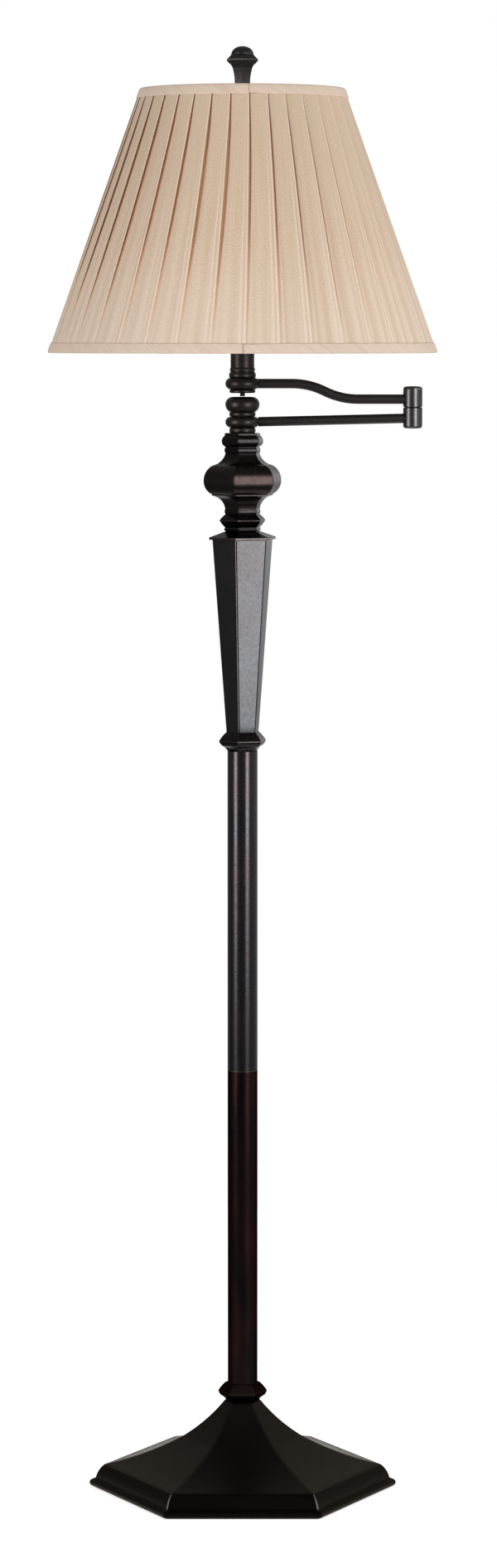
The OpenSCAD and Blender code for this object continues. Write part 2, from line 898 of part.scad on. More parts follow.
module upper_arm() {
  steps = [
    [crank_start - hub_socket_x],
    [crank_bend_r, -crank_angle],
    [crank_bend_r, crank_angle],
    [elbow_x - elbow_socket_x - crank_start - crank_len],
  ];
  color("slategray")
    bent_tube(steps, [hub_socket_x, z_upper_arm], 0, arm_r, arm_r - arm_wall, 24);
}

bolt_hole_r = bolt_r + rod_gap;

module hub_foot_ring() {
  color("dimgray") ring(ring_r - 0.2, z_hub_foot, hub_foot_h, bolt_hole_r);
}

module upper_hub() {
  floor_h = 2;
  color("darkslategray")
    difference() {
      turned(rim([hub_face_r, z_upper_hub], [hub_r, z_upper_arm], [hub_face_r, z_hub_ring]));
      bore(bolt_hole_r, z_upper_hub, z_hub_ring);
      translate([0, 0, z_upper_hub + floor_h]) cylinder(r = wireway_r, h = upper_hub_h);
      translate([0, 0, z_upper_arm]) rotate([0, 90, 0]) cylinder(r = arm_r + fit, h = 2 * hub_r);
    }
}

module hub_ring() {
  color("dimgray") ring(ring_r + 0.3, z_hub_ring, hub_ring_h, wireway_r);
}

post_web_z = z_post + 6;
post_web_h = 6;

module hub_bolt() {
  z0 = z_stack_top + bolt_gap;
  head_z = post_web_z + post_web_h;
  head_r = 4.8;
  head_h = 3;
  color("silver")
    union() {
      translate([0, 0, z0]) cylinder(r = bolt_r, h = head_z - z0);
      translate([0, 0, head_z]) cylinder(r = head_r, h = head_h, $fn = HEX);
    }
}

// A hollow post with a web for the bolt, and a roof that the head's nipple screws into
module head_post() {
  foot_bead_z = z_post + 0.5;
  foot_bead_h = 4.5;
  bevel = 0.6;
  wall = 1.8;
  roof = 3;
  wire_hole_r = 2.4;
  wire_hole_y = 6;
  chamber_z = post_web_z + post_web_h;
  color("darkslategray")
    difference() {
      turned(concat(
        [[post_r + 0.1, z_post]],
        bead(post_r + 0.2, post_r + 0.75, foot_bead_z, foot_bead_h),
        [[post_r, foot_bead_z + foot_bead_h + 0.1], [post_r, z_post_top - bevel], [post_r - bevel, z_post_top]]
      ));
      bore(wireway_r, z_post, post_web_z - 1);
      bore(bolt_hole_r, post_web_z, chamber_z);
      translate([0, wire_hole_y, 0]) bore(wire_hole_r, post_web_z, chamber_z);
      translate([0, 0, chamber_z]) cylinder(r = post_r - wall, h = z_post_top - roof - chamber_z);
      bore(pipe_r + rod_gap, z_post_top - roof, z_post_top);
    }
}

// ---- Socket and harp ----

module head_nipple() {
  color("silver") nipple(z_post_top - 8, z_socket + 6);
}

// A strip with an upright pin at each end for the harp's feet
module harp_saddle() {
  strip_w = 12;
  reach = saddle_half + 3;
  color("goldenrod")
    difference() {
      union() {
        intersection() {
          translate([-reach, -strip_w / 2, z_saddle]) cube([2 * reach, strip_w, saddle_t]);
          translate([0, 0, z_saddle]) cylinder(r = reach, h = saddle_t);
        }
        for (side = [-1, 1])
          translate([side * saddle_half, 0, z_saddle]) cylinder(r = harp_wire_r, h = saddle_post_h);
      }
      bore(pipe_r + rod_gap, z_saddle, z_saddle + saddle_t);
    }
}

// A thin round-bottomed cup
module socket_cup() {
  wall = 1.2;
  swell = 3.4;
  foot = [9, z_socket];
  waist = [socket_r, z_shell - 2];
  color("goldenrod")
    difference() {
      turned(concat([foot], arc(foot, waist, swell), [[socket_r, z_shell]]));
      turned([[7, z_socket + wall], [socket_r - 2 * wall, z_socket + 7], [socket_r - wall, z_shell + 0.01]]);
      bore(pipe_r + rod_gap, z_socket, z_socket + wall);
    }
}

stem_r = 2;

// Along the switch's axis, which leaves the socket towards the front
module along_switch(y0 = 0) {
  translate([0, -y0, z_switch])
    rotate([90, 0, 0])
      children();
}

module socket_shell() {
  wall = 0.6;
  flare = 0.8;
  flare_z = shell_h - 4;
  flare_h = 3;
  color("goldenrod")
    difference() {
      translate([0, 0, z_shell])
        turned(concat(
          [[socket_r, 0], [socket_r, flare_z]],
          bead(socket_r, socket_r + flare, flare_z, flare_h),
          [[socket_r, shell_h]]
        ));
      bore(socket_r - wall, z_shell, z_shell + shell_h);
      along_switch() cylinder(r = stem_r + 1, h = 2 * socket_r);
    }
}

module socket_body() {
  body_r = 12.5;
  color("ivory")
    difference() {
      translate([0, 0, z_screw_shell - socket_body_h]) cylinder(r = body_r, h = socket_body_h);
      along_switch() cylinder(r = stem_r + run_gap, h = 2 * body_r);
    }
}

module screw_shell() {
  color("gold")
    translate([0, 0, z_screw_shell])
      tube(screw_shell_r, screw_shell_r - 0.4, screw_shell_h);
}

contact_h = 2.4;

module centre_contact() {
  color("gold")
    translate([0, 0, z_screw_shell])
      cylinder(r = 4, h = contact_h);
}

knob_y = 26;
knob_grip = 6;

module switch_stem() {
  inner_y = 4;
  color("silver")
    along_switch(inner_y)
      cylinder(r = stem_r, h = knob_y + knob_grip - inner_y);
}

// A tapered turn knob with two wings
module switch_knob() {
  knob_len = 14;
  knob_r = 5;
  tip_r = 4.2;
  wing_reach = 8;
  wing_t = 3.2;
  wing_z = 2;
  color("black")
    along_switch(knob_y)
      difference() {
        union() {
          cylinder(r1 = knob_r, r2 = tip_r, h = knob_len);
          intersection() {
            translate([-wing_reach, -wing_t / 2, wing_z]) cube([2 * wing_reach, wing_t, knob_len - wing_z]);
            cylinder(r = wing_reach, h = knob_len);
          }
        }
        translate([0, 0, -1]) cylinder(r = stem_r + fit, h = 1 + knob_grip + fit);
      }
}

// The harp's legs rise from the saddle, bend out, bow round the bulb and meet over it
harp_lean_out = 26;
harp_lean_in = 27;
harp_foot = 7;
harp_low_r = 25;
harp_side_r = 70;
harp_top_r = 22;
z_harp = z_saddle + saddle_post_h;

// The two straight stretches of a harp leg are as long as its height and half width need
harp_rise = z_harp_top - z_harp - harp_foot - harp_low_r * sin(harp_lean_out)
  - harp_side_r * (sin(harp_lean_out) + sin(harp_lean_in)) - harp_top_r * (1 - sin(harp_lean_in));
harp_flat = 5;
harp_out = harp_flat + harp_top_r * cos(harp_lean_in) - saddle_half
  - harp_low_r * (1 - cos(harp_lean_out)) - harp_side_r * (cos(harp_lean_in) - cos(harp_lean_out));
harp_det = sin(harp_lean_out + harp_lean_in);
harp_low_run = (harp_out * cos(harp_lean_in) + harp_rise * sin(harp_lean_in)) / harp_det;
harp_high_run = (harp_rise * sin(harp_lean_out) - harp_out * cos(harp_lean_out)) / harp_det;

module harp() {
  side = [
    [harp_foot],
    [harp_low_r, -harp_lean_out],
    [harp_low_run],
    [harp_side_r, harp_lean_out + harp_lean_in],
    [harp_high_run],
    [harp_top_r, 90 - harp_lean_in],
  ];
  other_side = [for (i = [len(side) - 1:-1:0]) side[i]];
  color("goldenrod")
    difference() {
      union() {
        bent_tube(concat(side, [[2 * harp_flat]], other_side), [saddle_half, z_harp], 90, harp_wire_r, 0, 12);
        translate([0, 0, z_harp_top - boss_h / 2]) cylinder(r = boss_r, h = boss_h);
      }
      bore(rivet_stem_r + fit, z_harp_top - boss_h / 2, z_harp_top + boss_h / 2);
    }
}

module harp_ferrules() {
  wall = 1.2;
  height = 13;
  color("gold")
    for (side = [-1, 1])
      translate([side * saddle_half, 0, z_harp - height / 2])
        tube(harp_wire_r + wall, harp_wire_r + fit, height);
}

module harp_stud() {
  seat_r = 6;
  thread_h = 13;
  z0 = z_harp_top - boss_h / 2;
  color("gold")
    union() {
      translate([0, 0, z0]) cylinder(r = rivet_stem_r, h = boss_h);
      translate([0, 0, z0 + boss_h]) cylinder(r = seat_r, h = stud_seat_h);
      translate([0, 0, z_spider]) cylinder(r = stud_r, h = thread_h);
    }
}

module bulb_cap() {
  tip_r = 4;
  tip_z = z_screw_shell + contact_h + 0.1;
  wall = 0.8;
  color("silver")
    difference() {
      union() {
        translate([0, 0, tip_z]) cylinder(r1 = tip_r, r2 = bulb_cap_r - 1.5, h = z_bulb_cap - tip_z);
        translate([0, 0, z_bulb_cap]) cylinder(r = bulb_cap_r, h = bulb_cap_h);
      }
      translate([0, 0, z_bulb_cap + 2]) cylinder(r = bulb_cap_r - wall, h = bulb_cap_h);
    }
}

module bulb_glass() {
  shoulder_a = 28;
  neck_cove = -2.2;
  steps = 10;
  neck = [bulb_cap_r, z_bulb];
  centre = [0, z_bulb + bulb_centre_z];
  shoulder = centre + bulb_r * [cos(shoulder_a), -sin(shoulder_a)];
  crown = [
    for (i = [1:steps])
      let (a = -shoulder_a + (90 + shoulder_a) * i / steps)
      centre + bulb_r * [cos(a), sin(a)]
  ];
  color("white")
    rotate_extrude()
      polygon(concat([[0, z_bulb]], [neck], arc(neck, shoulder, neck_cove), crown));
}

// ---- Shade ----

function shade_r(z) = shade_top_r + (z_shade_top - z) * shade_slope;

module frame_wire(r, z) {
  translate([0, 0, z])
    rotate_extrude($fn = 96)
      translate([r, 0])
        circle(r = frame_wire_r, $fn = 16);
}

top_wire_r = shade_r(z_top_wire) - liner_inset - liner_t - frame_wire_r - 0.2;
bottom_wire_r = shade_r(z_bottom_wire) - liner_inset - liner_t - frame_wire_r - 0.2;

// A hub for the harp's stud, three arms and the top wire
module shade_spider() {
  hub_r = 10;
  arm_r = 1.5;
  arms = 3;
  arm_start = 6;
  arm_z = z_spider + spider_hub_h / 2;
  arm_lean = atan((z_top_wire - arm_z) / top_wire_r);
  color("silver")
    difference() {
      union() {
        frame_wire(top_wire_r, z_top_wire);
        translate([0, 0, z_spider]) cylinder(r = hub_r, h = spider_hub_h);
        for (k = [0:arms - 1])
          rotate(90 + 360 / arms * k)
            translate([0, 0, arm_z])
              rotate([0, 90 - arm_lean, 0])
                translate([0, 0, arm_start])
                  cylinder(r = arm_r, h = top_wire_r / cos(arm_lean) - arm_start);
      }
      bore(stud_r + rod_gap, z_spider - 2, z_spider + spider_hub_h + 2);
    }
}

module shade_bottom_wire() {
  color("silver") frame_wire(bottom_wire_r, z_bottom_wire);
}

module shade_liner() {
  z0 = z_shade + liner_edge;
  z1 = z_shade_top - liner_edge;
  a = shade_r(z0) - liner_inset;
  b = shade_r(z1) - liner_inset;
  color("white")
    rotate_extrude($fn = 96)
      polygon([[a - liner_t, z0], [a, z0], [b, z1], [b - liner_t, z1]]);
}

// Depth of the pleats at a part h of the cloth's height: they are pressed flatter under the trims
end_depth = 0.6;
function depth_at(h) = pleat_depth * (end_depth + (1 - end_depth) * sin(180 * h));

// Where the points of one pleat lie along it: its fold, the riser's foot and the panel
pleat_points = [0, 0.08, 0.55];
pleat_parts = [1, 0, 0.62];
cloth_levels = [0, 0.3, 0.7, 1];

// The pleated cloth between the trims, whose folds lean as they fall
module shade_cloth() {
  per_ring = pleats * len(pleat_points);
  rings = len(cloth_levels);
  edge = trim_h + fit;
  outer = [
    for (h = cloth_levels, k = [0:pleats - 1], i = [0:len(pleat_points) - 1])
      let (
        a = pleat_start + 360 / pleats * (k + pleat_points[i]) - pleat_skew * (1 - h),
        z = z_shade + edge + (shade_h - 2 * edge) * h,
        r = shade_r(z) - depth_at(h) * (1 - pleat_parts[i])
      )
      [r * cos(a), r * sin(a), z]
  ];
  inner = [
    for (p = outer)
      let (r = shade_r(p[2]) - cloth_inset, s = r / norm([p[0], p[1]]))
      [p[0] * s, p[1] * s, p[2]]
  ];
  skin = per_ring * rings;
  function at(level, i, side) = side * skin + level * per_ring + i % per_ring;
  sides = [
    for (level = [0:rings - 2], i = [0:per_ring - 1])
      each [
        [at(level, i, 0), at(level + 1, i, 0), at(level + 1, i + 1, 0)],
        [at(level, i, 0), at(level + 1, i + 1, 0), at(level, i + 1, 0)],
        [at(level, i, 1), at(level + 1, i + 1, 1), at(level + 1, i, 1)],
        [at(level, i, 1), at(level, i + 1, 1), at(level + 1, i + 1, 1)],
      ]
  ];
  top = rings - 1;
  ends = [
    for (i = [0:per_ring - 1])
      each [
        [at(0, i, 0), at(0, i + 1, 0), at(0, i + 1, 1)],
        [at(0, i, 0), at(0, i + 1, 1), at(0, i, 1)],
        [at(top, i, 0), at(top, i + 1, 1), at(top, i + 1, 0)],
        [at(top, i, 0), at(top, i, 1), at(top, i + 1, 1)],
      ]
  ];
  color("tan")
    polyhedron(concat(outer, inner), concat(sides, ends));
}

// A place in the trim's outline, at an inset from the shade's cone and a height from its edge
function trim_point(z_edge, up, inset, h) =
  [shade_r(z_edge + up * h) - inset, z_edge + up * h];

// A band folded over one edge of the shade, round the liner's rim
module trim(z_edge, up) {
  proud = 0.2;
  leg_t = 0.6;
  leg_h = 3.6;
  corner = 2;
  swell = 0.6;
  slit_out = liner_inset - fit;
  slit_in = liner_inset + liner_t + fit;
  function at(inset, h) = trim_point(z_edge, up, inset, h);
  outer_a = at(-proud, corner);
  outer_b = at(corner - proud, 0);
  inner_a = at(slit_in + leg_t - corner / 2, 0);
  inner_b = at(slit_in + leg_t, corner / 2);
  color("wheat")
    rotate_extrude($fn = 96)
      polygon(concat(
        [at(slit_out, liner_edge - fit), at(slit_out, trim_h), at(-proud, trim_h), outer_a],
        arc(outer_a, outer_b, -up * swell, 4),
        [inner_a, inner_b, at(slit_in + leg_t, leg_h), at(slit_in, leg_h), at(slit_in, liner_edge - fit)]
      ));
}

module shade_top_trim() {
  trim(z_shade_top, -1);
}

module shade_bottom_trim() {
  trim(z_shade, 1);
}

// ---- Finial ----

// A six-sided vase knob: a plain stem, a flared ridge and a low dome
module finial() {
  swell = -0.4;
  flare_cove = -0.9;
  foot_r = 11;
  foot_h = 2;
  stem_r = 9.2;
  dome_r = 12.4;
  dome_h = 8.2;
  dome_steps = 6;
  thread_h = 13;
  top = z_finial + finial_h;
  foot = [foot_r, z_finial];
  stem = [stem_r, z_finial + foot_h + 1.4];
  neck = [stem_r, top - 36];
  hip = [11.2, top - 24.2];
  flare = [15.9, top - 17.4];
  ridge = [18.6, top - 14.9];
  ridge_top = ridge + [0, 1.2];
  brim = [17.3, top - 12.9];
  dome = [
    for (i = [0:dome_steps])
      let (a = 90 * i / dome_steps)
      [dome_r * cos(a), top - dome_h * (1 - sin(a))]
  ];
  color("dimgray")
    difference() {
      six_sided(concat(
        [foot, foot + [0, foot_h], stem, neck],
        arc(neck, hip, swell, 4),
        arc(hip, flare, flare_cove, 4),
        [ridge, ridge_top, brim],
        dome
      ), 30);
      translate([0, 0, z_finial - 1]) cylinder(r = stud_r + 0.1, h = thread_h + 1);
    }
}

base_felt();
base_weight();
base_cover();
cord_bushing();
base_washer();
base_nut();
base_nipple();
base_collar();
pole_plugs();
lower_pole();
pole_coupling();
upper_pole();
upper_collar();
tapered_column();
column_cap();
lower_knop();
vase_bulb();
vase_lid();
upper_knop();
centre_pipe();
pivot_foot_ring();
pivot_bush();
pivot_spacer();
pivot_cap();
lower_hub();
lower_arm();
elbow_lower();
elbow_lower_cap();
elbow_rivet();
elbow_washer();
elbow_upper();
elbow_upper_cap();
upper_arm();
upper_hub();
hub_foot_ring();
hub_bolt();
hub_ring();
head_post();
head_nipple();
harp_saddle();
socket_cup();
socket_shell();
socket_body();
screw_shell();
centre_contact();
switch_stem();
switch_knob();
harp();
harp_ferrules();
harp_stud();
bulb_cap();
bulb_glass();
shade_spider();
shade_bottom_wire();
shade_liner();
shade_cloth();
shade_top_trim();
shade_bottom_trim();
finial();
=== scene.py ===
"""Looks of the bridge floor lamp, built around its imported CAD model. Metres, Z up, the front faces -Y."""

import math
import random

import bpy
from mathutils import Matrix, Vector


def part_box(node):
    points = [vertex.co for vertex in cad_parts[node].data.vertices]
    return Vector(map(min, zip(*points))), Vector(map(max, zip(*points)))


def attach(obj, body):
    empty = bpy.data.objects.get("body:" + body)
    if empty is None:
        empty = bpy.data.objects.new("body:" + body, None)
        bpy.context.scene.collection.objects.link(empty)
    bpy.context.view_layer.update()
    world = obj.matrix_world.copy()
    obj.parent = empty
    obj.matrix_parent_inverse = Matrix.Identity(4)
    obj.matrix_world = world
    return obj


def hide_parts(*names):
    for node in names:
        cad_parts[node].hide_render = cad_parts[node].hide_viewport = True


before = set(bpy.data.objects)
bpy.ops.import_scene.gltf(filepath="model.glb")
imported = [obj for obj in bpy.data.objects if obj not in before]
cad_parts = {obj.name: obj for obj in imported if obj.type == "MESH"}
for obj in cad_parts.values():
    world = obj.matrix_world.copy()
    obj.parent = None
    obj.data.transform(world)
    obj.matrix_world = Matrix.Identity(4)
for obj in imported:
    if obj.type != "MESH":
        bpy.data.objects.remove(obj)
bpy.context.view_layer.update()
MM = 0.001
TAU = 2 * math.pi
FLAT = math.cos(math.pi / 6)
random.seed(12)

# The photograph's camera
CAMERA_AT = Vector((0.0063, -4.876, 1.229))
CAMERA_PITCH = math.radians(5.56)
CAMERA_LENS = 106.82

# How far the hexagonal castings are turned about the pole
COLUMN_TURN = math.radians(18.3)
FINIAL_TURN = math.radians(30)
# Each casting's body, slot, finish and turn, and how round the hexagon's and the outline's corners are, in mm
CASTINGS = {
    "base_cover": ("stand", "dark_iron", "dark_iron", 0, 2.6, 0.8),
    "base_collar": ("stand", "dark_bronze", "lower_bronze", 0, 1.0, 0.6),
    "upper_collar": ("stand", "dark_bronze", "knop_bronze", COLUMN_TURN, 1.0, 0.6),
    "column_cap": ("stand", "dark_bronze", "knop_bronze", COLUMN_TURN, 1.0, 0.6),
    "lower_knop": ("stand", "dark_bronze", "knop_bronze", COLUMN_TURN, 0.9, 0.6),
    "vase_bulb": ("stand", "dark_bronze", "vase_bronze", COLUMN_TURN, 1.3, 0.7),
    "vase_lid": ("stand", "dark_bronze", "knop_bronze", COLUMN_TURN, 1.0, 0.6),
    "upper_knop": ("stand", "dark_bronze", "knop_bronze", COLUMN_TURN, 0.9, 0.6),
    "finial": ("upper_link", "dark_bronze", "arm_bronze", FINIAL_TURN, 0.9, 0.7),
}
# Height and radius of the finial's dome, how far over its brim it springs, and the angle between its points
FINIAL_DOME = 9.5 * MM
FINIAL_DOME_R = 12.6 * MM
DOME_LIFT, DOME_STEP = 0.9 * MM, 9.7
# The radius of the bead along the base's foot, and how far it stands out
BEAD_R = 3.7 * MM
BEAD_OUT = 1.1 * MM
# Where the base's skirt ends and its sweep begins
KNEE = 24.3 * MM

# The shade: how many pleats, where the first folds, how far each turns from top to hem, and its mesh's rows
PLEATS = 36
PLEAT_START = math.radians(-86.5)
PLEAT_SKEW = math.radians(2.8)
CLOTH_ROWS = 72


# ---- Camera ----


def make_camera():
    data = bpy.data.cameras.new("camera")
    data.lens = CAMERA_LENS
    data.sensor_width = 36
    data.sensor_fit = "AUTO"
    camera = bpy.data.objects.new("camera", data)
    camera.location = CAMERA_AT
    camera.rotation_euler = (math.pi / 2 - CAMERA_PITCH, 0, 0)
    bpy.context.scene.collection.objects.link(camera)
    bpy.context.scene.camera = camera


make_camera()

# ---- Node helpers ----


class Nodes:
    """A short way to write one material's or world's node tree."""

    def __init__(self, tree):
        self.tree = tree

    def add(self, kind, **values):
        node = self.tree.nodes.new("ShaderNode" + kind)
        for name, value in values.items():
            setattr(node, name, value)
        return node

    def link(self, source, target):
        self.tree.links.new(source, target)

    def noise(self, vector, scale, detail, rough=0.55):
        node = self.add("TexNoise")
        self.link(vector, node.inputs["Vector"])
        node.inputs["Scale"].default_value = scale
        node.inputs["Detail"].default_value = detail
        node.inputs["Roughness"].default_value = rough
        return node.outputs["Fac"]

    def stretched(self, vector, scale):
        node = self.add("Mapping")
        self.link(vector, node.inputs["Vector"])
        node.inputs["Scale"].default_value = scale
        return node.outputs["Vector"]

    def ramp(self, value, low, high, start=0.0, end=1.0):
        node = self.add("MapRange", clamp=True)
        self.link(value, node.inputs["Value"])
        node.inputs["From Min"].default_value = low
        node.inputs["From Max"].default_value = high
        node.inputs["To Min"].default_value = start
        node.inputs["To Max"].default_value = end
        return node.outputs["Result"]

    def math(self, operation, a, b):
        node = self.add("Math", operation=operation)
        for socket, value in zip(node.inputs, (a, b)):
            if isinstance(value, (int, float)):
                socket.default_value = value
            else:
                self.link(value, socket)
        return node.outputs["Value"]

    def mix(self, share, a, b, blend="MIX"):
        node = self.add("Mix", data_type="RGBA", blend_type=blend)
        sockets = [s for s in node.inputs if s.enabled]
        for socket, value in zip(sockets, (share, a, b)):
            if isinstance(value, (int, float)):
                socket.default_value = value
            elif isinstance(value, tuple):
                socket.default_value = (*value, 1)
            else:
                self.link(value, socket)
        return next(s for s in node.outputs if s.enabled)

    def axis(self, vector, name):
        node = self.add("SeparateXYZ")
        self.link(vector, node.inputs["Vector"])
        return node.outputs[name]

    def mark(self, name):
        """What add_piece wrote at each point under this name, from 0 to 1."""
        return self.add("Attribute", attribute_name=name).outputs["Fac"]

    def place(self):
        return self.add("TexCoord").outputs["Object"]

    def bump(self, height, distance, strength):
        node = self.add("Bump")
        self.link(height, node.inputs["Height"])
        node.inputs["Distance"].default_value = distance
        node.inputs["Strength"].default_value = strength
        return node.outputs["Normal"]


def new_material(name):
    material = bpy.data.materials.new(name)
    material.use_nodes = True
    tree = material.node_tree
    return material, Nodes(tree), tree.nodes["Principled BSDF"]


def set_plain(shader, **values):
    for name, value in values.items():
        shader.inputs[name.replace("_", " ")].default_value = value


# ---- Metals and plastics ----


# The scales of a metal's mottling and of its fine grain
MOTTLE, GRAIN = 330, 1100
# How far a finish darkens towards its foot, as painted shade, and how much rougher it gets
FOOT_SHADE_COLOUR = 0.3
DULL_ROUGH = 0.12
# How far below its end a tube's lighter line, from rubbing and a painted highlight, begins and reaches its
# full strength
LINE_LOW, LINE_HIGH = 0.9 * MM, 0.6 * MM


def cast_metal(
    name, dark, warm, worn_and_lit, rough, grain=1.0, patches=7.0, streak=1.0, tint=(1, 1, 1), end_at=None, dull_and_shade=None
):
    """A dark burnished finish: warm patches, fine mottling and edges lighter from rubbing and from a painted
    highlight.

    patches is the scale of the warm patches and streak how much of it they keep along Z. end_at is the height
    of a tube's end, whose edge gets a lighter line from rubbing and a painted highlight. dull is a height,
    how far above it the finish clears, and how much rougher and darker it gets below, the darkening a painted
    shade.
    """
    material, n, shader = new_material(name)
    place = n.place()
    cloud = n.ramp(n.noise(n.stretched(place, (1, 1, streak)), patches, 4), 0.38, 0.66)
    mottle = n.noise(place, MOTTLE, 3, 0.65)
    fine = n.noise(place, GRAIN, 2)
    colour = n.mix(cloud, dark, warm)
    colour = n.mix(n.ramp(mottle, 0.4, 0.7, 0, 0.3), colour, tuple(0.6 * c for c in dark))
    spread = n.ramp(mottle, 0.3, 0.7, rough - 0.03, rough + 0.04)
    spread = n.math("ADD", spread, n.ramp(cloud, 0, 1, -0.02, 0.03))
    # Darker towards the foot: painted shade, while the roughness there rises too
    if dull_and_shade:
        foot, over, share = dull_and_shade
        dulled_and_shaded = n.ramp(n.axis(place, "Z"), foot, foot + over, share, 0)
        colour = n.mix(dulled_and_shaded, colour, tuple(FOOT_SHADE_COLOUR * c for c in dark))
        spread = n.math("ADD", spread, n.math("MULTIPLY", dulled_and_shaded, DULL_ROUGH))
    if end_at is None:
        rubbed_and_lit = n.math("MULTIPLY", n.mark("wear"), n.ramp(n.noise(place, 60, 4), 0.35, 0.6, 0.35, 1))
    else:
        rubbed_and_lit = n.ramp(n.axis(place, "Z"), end_at - LINE_LOW, end_at - LINE_HIGH, 0, 0.9)
    n.link(n.mix(rubbed_and_lit, colour, worn_and_lit), shader.inputs["Base Color"])
    n.link(spread, shader.inputs["Roughness"])
    height = n.math("ADD", n.math("MULTIPLY", mottle, 0.7), n.math("MULTIPLY", fine, 0.3))
    n.link(n.bump(height, 0.00005 * grain, 0.6), shader.inputs["Normal"])
    set_plain(shader, Metallic=1.0, Specular_Tint=(*tint, 1))
    return material


def bright_metal(name, colour, tarnish, rough):
    """Brass or plated steel with faint cloudy tarnish and fine scratches."""
    material, n, shader = new_material(name)
    place = n.place()
    cloud = n.ramp(n.noise(place, 45, 4), 0.42, 0.7)
    n.link(n.mix(cloud, colour, tarnish), shader.inputs["Base Color"])
    scratch = n.noise(n.stretched(place, (250, 250, 2400)), 1, 3)
    n.link(n.ramp(scratch, 0.3, 0.7, rough - 0.07, rough + 0.1), shader.inputs["Roughness"])
    n.link(n.bump(scratch, 0.00006, 0.5), shader.inputs["Normal"])
    set_plain(shader, Metallic=1.0)
    return material


def moulded(name, colour, speck, rough):
    """Moulded plastic or glazed ceramic with a faint orange peel."""
    material, n, shader = new_material(name)
    place = n.place()
    n.link(n.mix(n.ramp(n.noise(place, 160, 3), 0.4, 0.7), colour, speck), shader.inputs["Base Color"])
    peel = n.noise(place, 700, 2)
    n.link(n.ramp(peel, 0.3, 0.7, rough - 0.05, rough + 0.08), shader.inputs["Roughness"])
    n.link(n.bump(peel, 0.00008, 0.5), shader.inputs["Normal"])
    return material


# ---- Cloths ----


def pleated_silk():
    """Champagne faille: fine ribs and slubs that run up the pleats. The UV map is in metres."""
    material, n, shader = new_material("pleated_silk")
    uv = n.add("UVMap", uv_map="cloth").outputs["UV"]
    slub = n.noise(n.stretched(uv, (520, 12, 1)), 1, 4, 0.6)
    thread = n.noise(n.stretched(uv, (2000, 60, 1)), 1, 2)
    cross = n.noise(n.stretched(uv, (120, 1900, 1)), 1, 2)
    fleck = n.noise(uv, 760, 3, 0.85)
    broad = n.noise(n.stretched(uv, (30, 9, 1)), 1, 2)
    champagne, rose = (0.640, 0.490, 0.346), (0.658, 0.498, 0.385)
    slub_dark, thread_dark, fleck_light = (0.54, 0.385, 0.255), (0.54, 0.39, 0.265), (0.80, 0.645, 0.505)
    # Painted light for the hem, painted shade for the top, a painted highlight for the folds, and soft and
    # deep painted shade
    hem_painted_light, top_painted_shade, fold_painted_highlight = (0.75, 0.64, 0.525), (0.53, 0.395, 0.265), (0.84, 0.70, 0.57)
    soft_shade, deep_shade = (0.88, 0.80, 0.75), (1.05, 0.88, 0.80)
    colour = n.mix(n.ramp(broad, 0.42, 0.66), champagne, rose)
    colour = n.mix(n.ramp(slub, 0.36, 0.58, 0.75, 0), colour, slub_dark)
    colour = n.mix(n.ramp(thread, 0.35, 0.65, 0, 0.4), colour, thread_dark)
    colour = n.mix(n.ramp(fleck, 0.45, 0.58, 0, 0.85), colour, fleck_light)
    up = n.axis(uv, "Y")
    # Painted light lightens the hem and painted shade darkens the cloth towards the top
    colour = n.mix(n.ramp(up, 0.015, 0.12, 0.5, 0), colour, hem_painted_light)
    colour = n.mix(n.ramp(up, 0.06, 0.2, 0, 0.4), colour, top_painted_shade)
    # A painted highlight along the fold edges and ridges, then painted shade, soft and deep, in the gaps and
    # along the lines
    colour = n.mix(n.math("MULTIPLY", n.mark("crest"), 0.55), colour, fold_painted_highlight)
    crease = n.mark("crease")
    colour = n.mix(n.ramp(crease, 0, 0.5), colour, n.mix(1.0, colour, soft_shade, "MULTIPLY"))
    colour = n.mix(n.ramp(crease, 0.4, 0.9), colour, n.mix(1.0, colour, deep_shade, "MULTIPLY"))
    n.link(colour, shader.inputs["Base Color"])
    height = n.math("ADD", n.math("MULTIPLY", slub, 0.5), n.math("MULTIPLY", thread, 0.3))
    height = n.math("ADD", height, n.math("MULTIPLY", cross, 0.2))
    n.link(n.bump(height, 0.00025, 0.7), shader.inputs["Normal"])
    set_plain(shader, Roughness=0.72, Sheen_Weight=0.26, Sheen_Roughness=0.4, Specular_IOR_Level=0.25)
    return material


def bias_tape():
    """The same cloth cut on the bias, so that its ribs run across the trims."""
    material, n, shader = new_material("bias_tape")
    uv = n.add("UVMap", uv_map="cloth").outputs["UV"]
    turned_uv = n.add("Mapping")
    n.link(uv, turned_uv.inputs["Vector"])
    turned_uv.inputs["Rotation"].default_value = (0, 0, math.radians(-55))
    along = turned_uv.outputs["Vector"]
    rib = n.noise(n.stretched(along, (900, 22, 1)), 1, 3, 0.5)
    thread = n.noise(n.stretched(along, (1900, 90, 1)), 1, 2)
    fleck = n.noise(uv, 900, 3)
    rib_dark, rib_light, fleck_light = (0.60, 0.455, 0.35), (0.69, 0.55, 0.435), (0.77, 0.635, 0.52)
    shade = (0.78, 0.70, 0.65)
    colour = n.mix(n.ramp(rib, 0.34, 0.52), rib_dark, rib_light)
    colour = n.mix(n.ramp(fleck, 0.42, 0.64, 0, 0.4), colour, fleck_light)
    # Painted shade at the seam and at the edge where the cloth meets the trim
    colour = n.mix(n.mark("crease"), colour, n.mix(1.0, colour, shade, "MULTIPLY"))
    n.link(colour, shader.inputs["Base Color"])
    height = n.math("ADD", n.math("MULTIPLY", rib, 0.7), n.math("MULTIPLY", thread, 0.3))
    n.link(n.bump(height, 0.0003, 0.8), shader.inputs["Normal"])
    set_plain(shader, Roughness=0.75, Sheen_Weight=0.12, Sheen_Roughness=0.5, Specular_IOR_Level=0.25)
    return material


